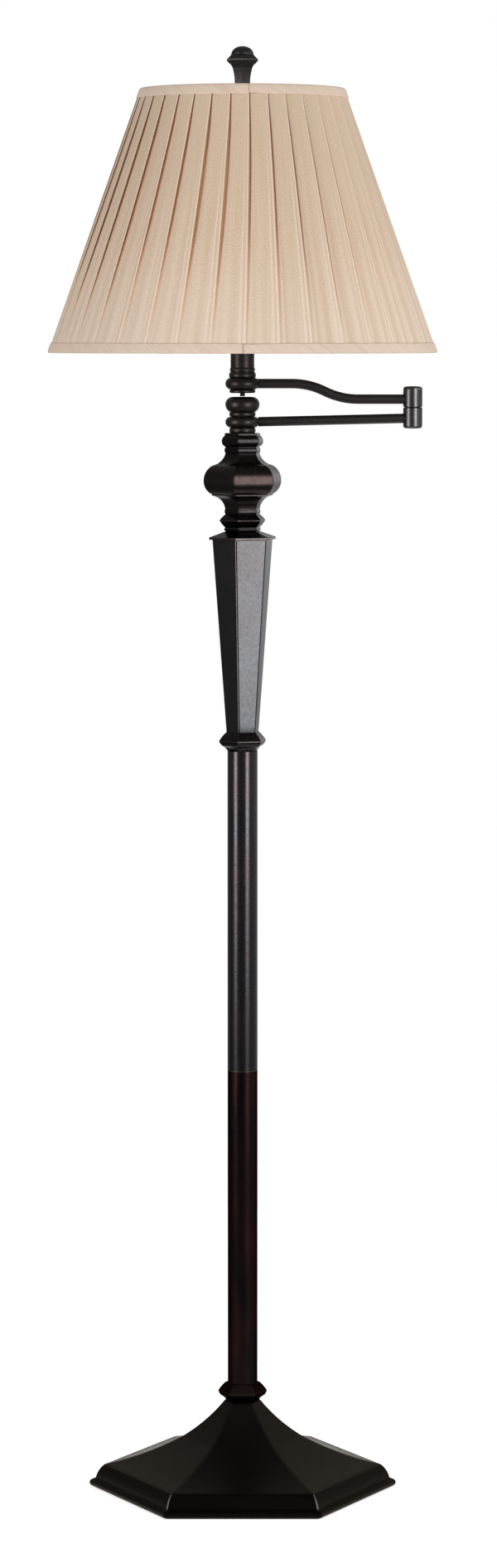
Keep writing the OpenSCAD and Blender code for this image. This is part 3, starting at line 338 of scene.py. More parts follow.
def lining():
    """White lining laminated to a stiff film: a plain close weave with a slight gloss."""
    material, n, shader = new_material("lining")
    uv = n.add("UVMap", uv_map="cloth").outputs["UV"]
    warp = n.noise(n.stretched(uv, (1500, 60, 1)), 1, 2)
    weft = n.noise(n.stretched(uv, (60, 1500, 1)), 1, 2)
    weave = n.math("MULTIPLY", warp, weft)
    colour = n.mix(n.ramp(weave, 0.15, 0.4), (0.70, 0.67, 0.61), (0.80, 0.78, 0.73))
    n.link(colour, shader.inputs["Base Color"])
    n.link(n.bump(weave, 0.0002, 0.5), shader.inputs["Normal"])
    set_plain(shader, Roughness=0.5, Specular_IOR_Level=0.35)
    return material


def wool_felt():
    material, n, shader = new_material("wool_felt")
    place = n.place()
    fibre = n.noise(n.stretched(place, (420, 900, 420)), 1, 5, 0.7)
    n.link(n.mix(fibre, (0.012, 0.012, 0.013), (0.05, 0.048, 0.046)), shader.inputs["Base Color"])
    n.link(n.bump(fibre, 0.0008, 0.9), shader.inputs["Normal"])
    set_plain(shader, Roughness=0.95, Sheen_Weight=0.2, Specular_IOR_Level=0.1)
    return material


def frosted_bulb():
    material, n, shader = new_material("frosted_bulb")
    place = n.place()
    coat = n.noise(place, 500, 3)
    n.link(n.mix(coat, (0.80, 0.79, 0.77), (0.86, 0.85, 0.83)), shader.inputs["Base Color"])
    n.link(n.ramp(coat, 0.3, 0.7, 0.26, 0.4), shader.inputs["Roughness"])
    n.link(n.bump(coat, 0.00005, 0.4), shader.inputs["Normal"])
    set_plain(shader, Subsurface_Weight=0.25, Subsurface_Scale=0.01, Coat_Weight=0.3, Coat_Roughness=0.1)
    return material


# Over what height, and how strongly, the pole tubes get rougher and darker, as painted shade, towards their
# feet
POLE_DULL_AND_SHADE = (0.3, 0.62)
UPPER_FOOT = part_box("upper_pole")[0].z
LOWER_FOOT, LOWER_END = (corner.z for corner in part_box("lower_pole"))

# Each metal's colour, the colour of its patches and that of its edges, lighter from rubbing and a painted
# highlight, then how rough it is
# The bronzes are one finish, made lighter or darker part by part as painted light and shade: darkest on the
# lower pole, the base collar and the knops, lids and cap, lightest on the elbow barrels
MATERIALS = {
    "dark_bronze": cast_metal(
        "burnished_bronze", (0.051, 0.052, 0.056), (0.056, 0.052, 0.053), (0.16, 0.14, 0.13), 0.20, patches=16
    ),
    "vase_bronze": cast_metal(
        "vase_bronze", (0.029, 0.0245, 0.025), (0.040, 0.026, 0.0245), (0.11, 0.09, 0.085), 0.27,
        grain=1.5, patches=16
    ),
    "knop_bronze": cast_metal(
        "knop_bronze", (0.019, 0.018, 0.019), (0.024, 0.018, 0.017), (0.15, 0.13, 0.12), 0.25
    ),
    "turned_bronze": cast_metal(
        "turned_bronze", (0.039, 0.037, 0.0375), (0.052, 0.040, 0.039), (0.08, 0.07, 0.065), 0.39, grain=1.5
    ),
    "arm_bronze": cast_metal(
        "arm_bronze", (0.046, 0.045, 0.046), (0.056, 0.044, 0.043), (0.10, 0.09, 0.085), 0.45,
        grain=3.0, patches=22
    ),
    "barrel_bronze": cast_metal(
        "barrel_bronze", (0.105, 0.102, 0.103), (0.115, 0.100, 0.097), (0.20, 0.19, 0.185), 0.33,
        grain=2.0, tint=(0.6, 0.6, 0.6)
    ),
    "dark_iron": cast_metal(
        "bronzed_iron", (0.0115, 0.0106, 0.0090), (0.0145, 0.0122, 0.0093), (0.19, 0.18, 0.17), 0.37,
        grain=1.6, patches=11, tint=(0.88, 0.83, 0.76), dull_and_shade=(KNEE - 1 * MM, 3 * MM, 0.8)
    ),
    "pole_bronze": cast_metal(
        "pole_bronze", (0.058, 0.057, 0.061), (0.068, 0.051, 0.054), (0.12, 0.10, 0.09), 0.23,
        grain=2.5, patches=24, dull_and_shade=(UPPER_FOOT, *POLE_DULL_AND_SHADE)
    ),
    "lower_bronze": cast_metal(
        "lower_bronze", (0.020, 0.0145, 0.013), (0.030, 0.018, 0.0145), (0.05, 0.036, 0.03), 0.34,
        grain=0.8, tint=(0.3, 0.27, 0.26)
    ),
    "lower_pole_bronze": cast_metal(
        "lower_pole_bronze", (0.0135, 0.0125, 0.0135), (0.039, 0.0145, 0.0145), (0.20, 0.16, 0.145), 0.28,
        grain=2.5, patches=75, streak=0.16, tint=(0.45, 0.40, 0.40), end_at=LOWER_END,
        dull_and_shade=(LOWER_FOOT, *POLE_DULL_AND_SHADE)
    ),
    "blackened_steel": cast_metal(
        "blackened_steel", (0.016, 0.015, 0.015), (0.022, 0.019, 0.018), (0.09, 0.08, 0.07), 0.35, grain=0.5
    ),
    "aged_brass": cast_metal(
        "aged_brass", (0.030, 0.024, 0.018), (0.045, 0.034, 0.022), (0.12, 0.09, 0.05), 0.4, grain=0.5
    ),
    "ballast_iron": cast_metal(
        "ballast_iron", (0.09, 0.085, 0.08), (0.13, 0.10, 0.08), (0.2, 0.19, 0.18), 0.62,
        grain=3.0, patches=20
    ),
    "zinc_steel": bright_metal("zinc_steel", (0.58, 0.57, 0.55), (0.42, 0.41, 0.38), 0.34),
    "brass": bright_metal("brass", (0.70, 0.50, 0.22), (0.46, 0.31, 0.13), 0.28),
    "socket_brass": bright_metal("socket_brass", (0.74, 0.56, 0.27), (0.52, 0.37, 0.17), 0.24),
    "insulator": moulded("glazed_ceramic", (0.78, 0.76, 0.71), (0.72, 0.69, 0.62), 0.3),
    "black_plastic": moulded("black_plastic", (0.018, 0.018, 0.019), (0.03, 0.029, 0.029), 0.42),
    "bulb_cap_metal": bright_metal("bulb_cap_metal", (0.66, 0.65, 0.62), (0.5, 0.48, 0.45), 0.3),
    "bulb_glass": frosted_bulb(),
    "liner": lining(),
    "shade_cloth": pleated_silk(),
    "shade_trim": bias_tape(),
    "felt": wool_felt(),
}


def dress_cad_nodes():
    """Gives every CAD node that stays in view the detailed finish of its slot."""
    # Some nodes take a lighter or darker copy of the bronze: painted light and shade
    own = {
        "lower_arm": "arm_bronze",
        "elbow_lower": "barrel_bronze",
        "elbow_lower_cap": "barrel_bronze",
        "elbow_upper": "barrel_bronze",
        "elbow_upper_cap": "barrel_bronze",
        "head_post": "turned_bronze",
        "lower_pole": "lower_pole_bronze",
        "upper_pole": "pole_bronze",
        "hub_bolt": "blackened_steel",
        "elbow_washer": "aged_brass",
        "elbow_rivet": "aged_brass",
    }
    for name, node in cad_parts.items():
        for slot in node.material_slots:
            key = slot.material.name.split(".")[0]
            slot.material = MATERIALS[own.get(name, key)]


dress_cad_nodes()

# ---- Mesh helpers ----


def add_piece(name, body, slot, verts, faces, replaces, uvs=None, finish=None, **marks):
    """Makes one piece. uvs are in metres and marks from 0 to 1, both per vertex."""
    mesh = bpy.data.meshes.new(name)
    mesh.from_pydata([tuple(v) for v in verts], [], faces)
    mesh.validate()
    for polygon in mesh.polygons:
        polygon.use_smooth = True
    if uvs:
        layer = mesh.uv_layers.new(name="cloth")
        for loop in mesh.loops:
            layer.data[loop.index].uv = uvs[loop.vertex_index]
    for mark, values in marks.items():
        mesh.attributes.new(mark, "FLOAT", "POINT").data.foreach_set("value", values)
    piece = bpy.data.objects.new(name, mesh)
    bpy.context.scene.collection.objects.link(piece)
    mesh.materials.append(MATERIALS[finish or slot])
    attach(piece, body)
    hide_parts(*replaces)
    return piece


def flat_faces_stay_flat(piece):
    modifier = piece.modifiers.new("even_normals", "WEIGHTED_NORMAL")
    modifier.mode = "FACE_AREA"
    modifier.weight = 80


def circle(r, z, sides):
    return [Vector((r * math.cos(TAU * i / sides), r * math.sin(TAU * i / sides), z)) for i in range(sides)]


def skin(rings):
    """Quads between rings of the same length, from the foot up, seen from outside."""
    count = len(rings[0])
    verts = [p for ring in rings for p in ring]
    faces = []
    for j in range(len(rings) - 1):
        for i in range(count):
            a, b = j * count + i, j * count + (i + 1) % count
            faces.append((a, b, b + count, a + count))
    return verts, faces


def capped(verts, faces, count):
    """Closes the first and the last ring."""
    faces.append(tuple(range(count - 1, -1, -1)))
    faces.append(tuple(range(len(verts) - count, len(verts))))


def blend(a, b, t):
    return a + (b - a) * t


def smooth_step(t):
    t = max(0.0, min(1.0, t))
    return t * t * (3 - 2 * t)


def turn_between(a, b, c):
    one, two = b - a, c - b
    if one.length < 1e-7 or two.length < 1e-7:
        return 0
    return one.angle(two)


# An outline that turns by more than this has a corner, and its rounding takes at most this part of a side
CORNER, CORNER_SHARE = math.radians(26), 0.4


def refined(points):
    """Adds points on smooth curves through an outline's smooth runs."""
    smooth = [False] + [turn_between(*points[i : i + 3]) < CORNER for i in range(len(points) - 2)] + [False]
    out = [points[0]]
    for i, (a, b) in enumerate(zip(points, points[1:])):
        if smooth[i] or smooth[i + 1]:
            before = points[i - 1] if smooth[i] else 2 * a - b
            after = points[i + 2] if smooth[i + 1] else 2 * b - a
            for t in (1 / 3, 2 / 3):
                bend = (2 * before - 5 * a + 4 * b - after) * t**2
                out.append((2 * a + (b - before) * t + bend + (3 * a - before - 3 * b + after) * t**3) / 2)
        out.append(b)
    return out


def with_flat_ends(points, head):
    """Carries an outline a little way in over its ends, so that they close flat."""
    inward = Vector((1.5 * MM, 0))
    return [points[0] - inward, *points] + [points[-1] - inward] * head


def softened(points, radius):
    """Rounds each real corner of an outline and marks it as an edge made lighter by rubbing and a painted
    highlight.
    """
    out = [(points[0], 0.0)]
    for a, b, c in zip(points, points[1:], points[2:]):
        if turn_between(a, b, c) < CORNER:
            out.append((b, 0.0))
            continue
        cut_a = min(radius, CORNER_SHARE * (a - b).length)
        cut_c = min(radius, CORNER_SHARE * (c - b).length)
        start = b + (a - b).normalized() * cut_a
        end = b + (c - b).normalized() * cut_c
        outward = (b - (start + end) / 2).x > 0
        rubbed_and_lit = 1.0 if outward else 0.0
        for t in (0, 0.25, 0.5, 0.75, 1):
            place = start * (1 - t) ** 2 + b * 2 * t * (1 - t) + end * t**2
            out.append((place, rubbed_and_lit if 0.2 < t < 0.8 else 0.0))
    out.append((points[-1], 0.0))
    return out


# Where the points on a hexagon's rounded corner lie, in degrees, and the part of the rounding it gets back
CORNER_ARC = (-30, -15, 0, 15, 30)
CORNER_REACH = 0.08


def rounded_hexagon(r, z, turn, rounding):
    """A ring over a hexagon's rounded corners, and how near each point is to a corner's ridge."""
    rounding = min(rounding, 0.8 * r)
    inner = r - rounding / FLAT + rounding * CORNER_REACH
    ring, ridge = [], []
    for k in range(6):
        mid = turn + k * TAU / 6
        centre = Vector((inner * math.cos(mid), inner * math.sin(mid)))
        for a in CORNER_ARC:
            angle = mid + math.radians(a)
            place = centre + rounding * Vector((math.cos(angle), math.sin(angle)))
            ring.append(Vector((place.x, place.y, z)))
            ridge.append(1 - abs(a) / 30)
        here = ring[-1]
        after = mid + TAU / 6
        next_centre = Vector((inner * math.cos(after), inner * math.sin(after)))
        start = after - math.radians(30)
        there = next_centre + rounding * Vector((math.cos(start), math.sin(start)))
        for t in (0.33, 0.67):  # two points along the flat face
            ring.append(here.lerp(Vector((there.x, there.y, z)), t))
            ridge.append(0)
    return ring, ridge


# Nothing nearer the axis than this is a casting's outside, and points this near a corner's line are on it
INSIDE_R = 8 * MM
FINIAL_INSIDE_R = 5 * MM
ON_CORNER = math.radians(0.25)


def corner_outline(node, turn):
    """The outline that a six-sided CAD casting has over its corners, from its foot up."""
    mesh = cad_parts[node].data
    smallest = FINIAL_INSIDE_R if node == "finial" else INSIDE_R
    key = {}
    for v in mesh.vertices:
        r = math.hypot(v.co.x, v.co.y)
        off = (math.atan2(v.co.y, v.co.x) - turn + TAU) % (TAU / 6)
        if r > smallest and min(off, TAU / 6 - off) < ON_CORNER:
            key[v.index] = (round(r, 6), round(v.co.z, 6))
    beside = {}
    for edge in mesh.edges:
        a, b = (key.get(i) for i in edge.vertices)
        if a and b and a != b:
            beside.setdefault(a, set()).add(b)
            beside.setdefault(b, set()).add(a)
    top = max(z for _, z in beside)
    here = max(k for k in beside if k[1] == top)
    foot = min(z for _, z in beside)
    chain = [here]
    while here[1] > foot:
        ahead = [k for k in beside[here] if k not in chain]
        if not ahead:
            break
        here = max(ahead)
        chain.append(here)
    return [Vector(p) for p in reversed(chain)]


def domed(outline):
    """The finial's outline with a smooth round dome on its brim."""
    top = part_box("finial")[1].z
    brim = [p for p in outline if p.y < top - FINIAL_DOME]
    foot = top - FINIAL_DOME + DOME_LIFT
    turns = [math.radians(DOME_STEP * i) for i in range(10)]
    dome = [Vector((FINIAL_DOME_R * math.cos(a), foot + (top - foot) * math.sin(a))) for a in turns]
    return brim + dome


def beaded(outline):
    """The base's outline with a full round bead along its foot."""
    foot = outline[0].y
    centre = Vector((max(p.x for p in outline) + BEAD_OUT - BEAD_R, foot + BEAD_R))
    turns = [math.radians(-90 + 18 * i) for i in range(11)]
    bead = [centre + BEAD_R * Vector((math.cos(a), math.sin(a))) for a in turns]
    return bead + [p for p in outline if p.y > foot + 2 * BEAD_R]


# Above its knee the base's hips are this much softer, over this rise, and less so within this radius
HIP_SOFT = 5 * MM
HIP_RISE = 8 * MM
HIP_R = 0.12
# How much lighter the hexagons' corners are from rubbing and a painted highlight, from this near their ridge,
# and those of the column and of the base's skirt, from its bead to just under its knee
CORNER_WEAR_AND_HIGHLIGHT, WEAR_AND_HIGHLIGHT_FROM = 0.15, 0.4
COLUMN_WEAR_AND_HIGHLIGHT = 0.5
SKIRT_WEAR_AND_HIGHLIGHT = 0.9
SKIRT_FOOT = 9 * MM
SKIRT_HEAD = KNEE - 0.5 * MM


def cast_hexagon(name, outline, turn, rounding, fillet):
    body, slot, finish = CASTINGS[name][:3]
    dome_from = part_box(name)[1].z - FINIAL_DOME if name == "finial" else math.inf
    rings, wear = [], []
    outline = with_flat_ends(refined(outline), head=name != "finial")
    for place, rubbed_and_lit in softened(outline, fillet):
        soft = rounding if place.y < dome_from else place.x
        worn_and_lit = 0 if place.y > dome_from else CORNER_WEAR_AND_HIGHLIGHT
        if name == "base_cover":
            soft += HIP_SOFT * smooth_step((place.y - KNEE) / HIP_RISE) * min(1, place.x / HIP_R)
            worn_and_lit = SKIRT_WEAR_AND_HIGHLIGHT if SKIRT_FOOT < place.y < SKIRT_HEAD else 0
            rubbed_and_lit = 0
        ring, ridge = rounded_hexagon(place.x, place.y, turn, soft)
        rings.append(ring)
        wear += [max(rubbed_and_lit, worn_and_lit * e if e > WEAR_AND_HIGHLIGHT_FROM else 0) for e in ridge]
    verts, faces = skin(rings)
    capped(verts, faces, len(rings[0]))
    piece = add_piece(name + "_casting", body, slot, verts, faces, (name,), finish=finish, wear=wear)
    flat_faces_stay_flat(piece)


def rim(a, m, b, steps=10):
    """Points over a round rim that is widest at the middle one of three points."""
    r0 = ((m.x - a.x) ** 2 + (m.y - a.y) ** 2) / (2 * (m.x - a.x))
    r1 = ((m.x - b.x) ** 2 + (m.y - b.y) ** 2) / (2 * (m.x - b.x))
    a0 = math.asin((m.y - a.y) / r0)
    a1 = math.asin((b.y - m.y) / r1)
    points = []
    for i in range(2 * steps + 1):
        t = a0 * (i / steps - 1) if i < steps else a1 * (i / steps - 1)
        r = r0 if i < steps else r1
        points.append(m + r * Vector((math.cos(t) - 1, math.sin(t))))
    return points


def turned_piece(name, body, slot, outline, replaces, fillet=0.3 * MM, sides=96, finish="turned_bronze"):
    rings, wear = [], []
    for place, rubbed_and_lit in softened(with_flat_ends(outline, head=slot != "bulb_glass"), fillet):
        rings.append(circle(place.x, place.y, sides))
        wear += [rubbed_and_lit] * sides
    verts, faces = skin(rings)
    capped(verts, faces, sides)
    flat_faces_stay_flat(add_piece(name, body, slot, verts, faces, replaces, finish=finish, wear=wear))


# ---- Castings ----


def build_castings():
    for name, (_, _, _, turn, rounding, fillet) in CASTINGS.items():
        outline = corner_outline(name, turn)
        if name == "finial":
            outline = domed(outline)
        if name == "base_cover":
            outline = beaded(outline)
        cast_hexagon(name, outline, turn, rounding * MM, fillet * MM)


COLUMN_CORNER = 2.2 * MM
COLUMN_EDGE = 0.35 * MM
COLUMN_ROWS = 24


def build_column():
    """The tapered column, with rounded corners and a fine bevel at each end."""
    name = "tapered_column"
    lo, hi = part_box(name)
    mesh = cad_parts[name].data
    radii = []
    for z in (lo.z, hi.z):
        near = [math.hypot(v.co.x, v.co.y) for v in mesh.vertices if abs(v.co.z - z) < 0.1 * MM]
        radii.append(max(near) + COLUMN_CORNER * (1 / FLAT - 1))
    bevel = COLUMN_EDGE / (hi.z - lo.z)
    levels = [(j / COLUMN_ROWS, 0) for j in range(COLUMN_ROWS + 1)]
    levels[0:1] = [(0, COLUMN_EDGE), (bevel, 0)]
    levels[-1:] = [(1 - bevel, 0), (1, COLUMN_EDGE)]
    rings, wear = [], []
    for t, inset in levels:
        r = radii[0] + (radii[1] - radii[0]) * t - inset
        ring, ridge = rounded_hexagon(r, lo.z + (hi.z - lo.z) * t, COLUMN_TURN, COLUMN_CORNER)
        rings.append(ring)
        wear += [COLUMN_WEAR_AND_HIGHLIGHT * e for e in ridge]
    verts, faces = skin(rings)
    capped(verts, faces, len(rings[0]))
    piece = add_piece(name + "_casting", "stand", "dark_bronze", verts, faces, (name,), wear=wear)
    flat_faces_stay_flat(piece)


# How far a turned ring's faces and its bead's edges lie inside its widest line, and the step at each face
RING_FACE_IN = 1.0 * MM
RING_BEAD_IN = 0.6 * MM
RING_STEP = 0.4 * MM
# The radius of a hub's faces, and of the pivot cap's foot and head, as parts of the widest radius
HUB_FACE = 0.749
CAP_FOOT, CAP_HEAD = 0.771, 0.581


def ring_outline(node):
    lo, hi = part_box(node)
    r = (hi.y - lo.y) / 2
    face = r - RING_FACE_IN
    low = Vector((r - RING_BEAD_IN, lo.z + RING_STEP))
    high = Vector((r - RING_BEAD_IN, hi.z - RING_STEP))
    bulge = rim(low, Vector((r, (lo.z + hi.z) / 2)), high, 5)
    return [Vector((face, lo.z)), *bulge, Vector((face, hi.z))]


def hub_outline(node):
    lo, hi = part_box(node)
    r = (hi.y - lo.y) / 2
    face = r * HUB_FACE
    return rim(Vector((face, lo.z)), Vector((r, (lo.z + hi.z) / 2)), Vector((face, hi.z)))


TURNED = [
    ("pivot_foot_ring", "stand", ring_outline),
    ("pivot_spacer", "stand", ring_outline),
    ("hub_foot_ring", "upper_link", ring_outline),
    ("hub_ring", "upper_link", ring_outline),
    ("lower_hub", "lower_link", hub_outline),
    ("upper_hub", "upper_link", hub_outline),
]


def build_turned():
    for node, body, outline in TURNED:
        turned_piece(node + "_turned", body, "dark_bronze", outline(node), (node,))
    lo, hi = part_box("pivot_cap")
    r = (hi.y - lo.y) / 2
    cap = rim(Vector((CAP_FOOT * r, lo.z)), Vector((r, (lo.z + hi.z) / 2)), Vector((CAP_HEAD * r, hi.z)), 14)
    turned_piece("pivot_cap_turned", "stand", "dark_bronze", cap, ("pivot_cap",), 0.6 * MM)


# ---- Cranked arm ----

# Where the crank begins, the radius of its bends, and the steps and sides of its mesh
CRANK_START = 51.5 * MM
CRANK_BEND = 78 * MM
CRANK_STEPS = 16
CRANK_SIDES = 40


def crank_route():
    """Points and headings along the upper arm in the XZ plane, from the hub to the elbow."""
    lo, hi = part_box("upper_arm")
    r = (hi.y - lo.y) / 2
    high, low = hi.z - r, lo.z + r
    bend = math.acos(1 - (high - low) / 2 / CRANK_BEND)
    stops = [(lo.x, high, 0.0), (lo.x + 0.7 * (CRANK_START - lo.x), high, 0.0)]
    for i in range(CRANK_STEPS + 1):
        a = bend * i / CRANK_STEPS
        stops.append((CRANK_START + CRANK_BEND * math.sin(a), high - CRANK_BEND * (1 - math.cos(a)), -a))
    turn_x = CRANK_START + 2 * CRANK_BEND * math.sin(bend)
    for i in range(CRANK_STEPS - 1, -1, -1):
        a = bend * i / CRANK_STEPS
        stops.append((turn_x - CRANK_BEND * math.sin(a), low + CRANK_BEND * (1 - math.cos(a)), -a))
    stops.append((turn_x + 0.3 * (hi.x - turn_x), low, 0.0))
    stops.append((hi.x, low, 0.0))
    return stops, r


def build_upper_arm():
    stops, r = crank_route()
    rings = []
    for x, z, heading in stops:
        ring = []
        for k in range(CRANK_SIDES):
            a = TAU * k / CRANK_SIDES
            side = r * math.cos(a)
            ring.append(Vector((x - side * math.sin(heading), r * math.sin(a), z + side * math.cos(heading))))
        rings.append(ring)
    verts, faces = skin(rings)
    faces = [tuple(reversed(f)) for f in faces]
    replaced = ("upper_arm",)
    add_piece("upper_arm_tube", "upper_link", "dark_bronze", verts, faces, replaced, finish="arm_bronze")


# ---- Shade ----


# Across one pleat from its fold: part of its width, part of its depth, and how dark the painted shade is.
# PRESSED has the share of the gap that is added to the width second. FALLEN is how the pleats relax near the
# hem.
PRESSED = [
    (0.004, 0, 0.0, 0.0), (0.011, 0, 0.05, 0.0), (0.012, 0, 0.13, 0.1), (0.002, 0, 0.20, 0.6),
    (-0.04, 0, 0.32, 0.9), (-0.09, 0, 0.55, 1.0), (-0.10, 0, 0.85, 1.0), (-0.07, 0, 0.99, 1.0),
    (0.0, 0.2, 1.0, 1.0), (0.0, 0.6, 1.0, 1.0), (-0.006, 1, 0.95, 0.95), (0.002, 1, 0.84, 0.8),
    (0.011, 1, 0.64, 0.6), (0.024, 1, 0.47, 0.3), (0.045, 1, 0.36, 0.1),
]
FALLEN = [
    (0.004, 0.0, 0.0), (0.010, 0.05, 0.1), (0.015, 0.16, 0.3), (0.020, 0.30, 0.5), (0.025, 0.46, 0.7),
    (0.030, 0.62, 0.85), (0.035, 0.77, 0.9), (0.042, 0.89, 0.85), (0.050, 0.96, 0.7), (0.061, 1.0, 0.55),
    (0.075, 0.97, 0.4), (0.093, 0.87, 0.25), (0.115, 0.74, 0.15), (0.14, 0.62, 0.1), (0.17, 0.52, 0.0),
]
# Along a pleat's face from its start: part of the way, and how strongly a pressed line shows there, as depth
# and as painted shade
FACE = [
    (0.07, 0), (0.15, 0), (0.24, 0), (0.34, 0), (0.45, 0), (0.56, 0.05), (0.64, 0.35), (0.70, 0.6),
    (0.75, 0.25), (0.80, 0), (0.85, 0.45), (0.89, 1.0), (0.93, 0.4), (0.965, 0), (0.992, 0),
]
# How wide the gap beside a fold is and how deep the fold is, in mm, from the hem up
GAP = [
    (0, 0.3), (0.1, 0.9), (0.2, 1.9), (0.35, 3.0), (0.5, 3.7), (0.7, 3.7), (0.85, 2.7), (0.95, 1.4), (1, 0.8)
]
DEEP = [(0, 0.9), (0.1, 1.1), (0.2, 1.5), (0.35, 2.2), (0.5, 2.8), (0.85, 3.0), (0.95, 2.3), (1, 1.7)]
# The part of the height where the pleats begin to be pressed, and how far up that takes
PRESS_FROM = 0.14
PRESS_OVER = 0.34
# A pressed line's depth, and how far a relaxed face rolls and ripples
LINE_DEPTH = 0.42 * MM
ROLL_DEPTH = 1.3 * MM
RIPPLE_DEPTH = 0.8 * MM
# How far the cloth runs in under each trim
TUCK = 3 * MM


def table_value(table, t):
    for (a, x), (b, y) in zip(table, table[1:]):
        if t <= b:
            return blend(x, y, (t - a) / (b - a))
    return table[-1][1]


def shade_cone():
    """The shade's edge heights, the cloth's foot and head, its radius at the foot and how much it narrows."""
    bottom, top, cloth = (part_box(name) for name in ("shade_bottom_trim", "shade_top_trim", "shade_cloth"))
    foot, head = cloth[0].z, cloth[1].z
    r_foot = (cloth[1].y - cloth[0].y) / 2
    r_top = (top[1].y - top[0].y) / 2
    return bottom[0].z, top[1].z, foot, head, r_foot, (r_foot - r_top) / (top[0].z - foot)


SHADE_Z0, SHADE_Z1, CLOTH_Z0, CLOTH_Z1, CLOTH_R0, SHADE_SLOPE = shade_cone()


def cone_r(z):
    return CLOTH_R0 - (z - CLOTH_Z0) * SHADE_SLOPE


def pleat_traits():
    """What sets each pleat apart. The pleats left of the front stand open, those right of it lie closer."""
    traits = []
    for k in range(PLEATS):
        middle = math.degrees(PLEAT_START) + (k + 0.5) * 360 / PLEATS
        closed = smooth_step((middle + 92) / 20) * smooth_step((200 - middle) / 60)
        traits.append({
            "gap": blend(0.9, 0.55, closed) * random.uniform(0.85, 1.15),
            "tuck": blend(0.5, 0.3, closed),
            "roll": blend(1.0, 2.0, closed),
            "shade": blend(0.15, 0.4, closed),
            "depth": random.uniform(0.9, 1.05),
            "shift": random.uniform(-0.02, 0.02),
            "bow": random.uniform(-0.02, 0.02),
            "relax": random.uniform(-0.09, 0.09),
            "phase": random.uniform(0, TAU),
            "ripple": random.uniform(0.6, 1.4),
            "lines": random.uniform(0.5, 1.3),
        })
    return traits


def pleat_fold(h, trait, pressed, gap, depth):
    """The fold and the gap beside it: width in pleats, depth, painted shade and painted highlight."""
    points = []
    faint = blend(0.4, 1, smooth_step(h / 0.2))
    for (u0, q0, c0), (u1, w1, q1, c1) in zip(FALLEN, PRESSED):
        tucked = min(u1, 0) * trait["tuck"] + max(u1, 0)
        u = blend(u0, tucked + w1 * gap, pressed)
        points.append((u, depth * blend(q0, q1, pressed), blend(c0 * faint, c1, pressed), float(q1 < 0.1)))
    return points


def pleat_face(h, trait, level):
    """The face from the gap to the next fold: part of the way, depth, painted shade and painted highlight."""
    points = []
    low = smooth_step((0.75 - h) / 0.5)
    lined = trait["lines"] * smooth_step((0.9 - h) / 0.5)
    loose = RIPPLE_DEPTH * trait["ripple"] * (1 - h) ** 1.4
    for t, line in FACE:
        wave = math.sin(math.pi * t) * math.sin(TAU * 1.7 * t + trait["phase"])
        fall = level * (1 - t) ** 1.4 + (trait["roll"] - 1) * ROLL_DEPTH * (1 - t) ** 2 * low
        deep = max(0, fall + LINE_DEPTH * lined * line + loose * wave)
        # dark is painted shade and light a painted highlight: ripples shaded and lit by their slope, pressed
        # lines shaded with a lit line beside them near the fold, the face shaded just after the gap, and its
        # last stretch lit
        soft = 0.45 * trait["ripple"] * (1 - h) ** 1.3 * wave
        ridge = 0.7 * lined if t > 0.7 and line < 0.2 else 0.0
        shaded = trait["shade"] * (0.5 + 0.7 * low) * (1 - t) ** 3
        dark = min(1, 0.25 * lined * line + 0.7 * max(0, soft) + shaded)
        light = 1.0 if t > 0.96 else min(1, ridge + max(0, -soft))
        points.append((t, deep, dark, light))
    return points


def pleat_row(h, traits, pitch):
    """One ring of the pleated cloth at a part h of its height: azimuth in pleats, depth, painted shade and
    highlight.
    """
    row = []
    bulge = math.sin(math.pi * h)
    for k, trait in enumerate(traits):
        pressed = smooth_step((h - PRESS_FROM + trait["relax"]) / PRESS_OVER)
        depth = table_value(DEEP, h) * MM * trait["depth"]
        gap = table_value(GAP, h) * MM * trait["gap"] / pitch
        ahead = traits[(k + 1) % PLEATS]
        sway = k + trait["shift"] + trait["bow"] * bulge
        end = k + 1.002 + ahead["shift"] + ahead["bow"] * bulge
        row += [(sway + u, *rest) for u, *rest in pleat_fold(h, trait, pressed, gap, depth)]
        start = blend(FALLEN[-1][0], PRESSED[-1][0] + gap, pressed)
        level = blend(FALLEN[-1][1], PRESSED[-1][2], pressed) * depth
        row += [(blend(sway + start, end, t), *rest) for t, *rest in pleat_face(h, trait, level)]
    return row


def build_cloth():
    """The pleated cloth, and its cut size: the longest row unfolded, and its slant height."""
    traits = pleat_traits()
    z0, z1 = CLOTH_Z0 - TUCK, CLOTH_Z1 + TUCK
    step = TAU / PLEATS
    slant = math.hypot(1, SHADE_SLOPE)
    uvs, rings, crease, crest = [], [], [], []
    middle, longest = None, 0
    rows = [j / CLOTH_ROWS for j in range(CLOTH_ROWS + 1)]
    for t in [0.5] + rows:  # the middle row comes first, because its lengths are every row's U
        z = blend(z0, z1, t)
        pitch = cone_r(z) * step
        row = pleat_row(t, traits, pitch)
        run = [0.0]
        for (u0, d0, _, _), (u1, d1, _, _) in zip(row, row[1:]):
            run.append(run[-1] + math.hypot((u1 - u0) * pitch, d1 - d0))
        longest = max(longest, run[-1])
        if middle is None:
            middle = run
            continue
        ring = []
        for i, (u, depth, dark, light) in enumerate(row):
            a = PLEAT_START + u * step - PLEAT_SKEW * (1 - t)
            r = cone_r(z) - depth
            ring.append(Vector((r * math.cos(a), r * math.sin(a), z)))
            uvs.append((middle[i], (z - z0) * slant))
            crease.append(dark)
            crest.append(light)
        rings.append(ring)
    verts, faces = skin(rings)
    replaced = ("shade_cloth",)
    cloth = add_piece(
        "shade_pleats", "upper_link", "shade_cloth", verts, faces, replaced, uvs, crease=crease, crest=crest
    )
    return cloth, (longest, (z1 - z0) * slant)


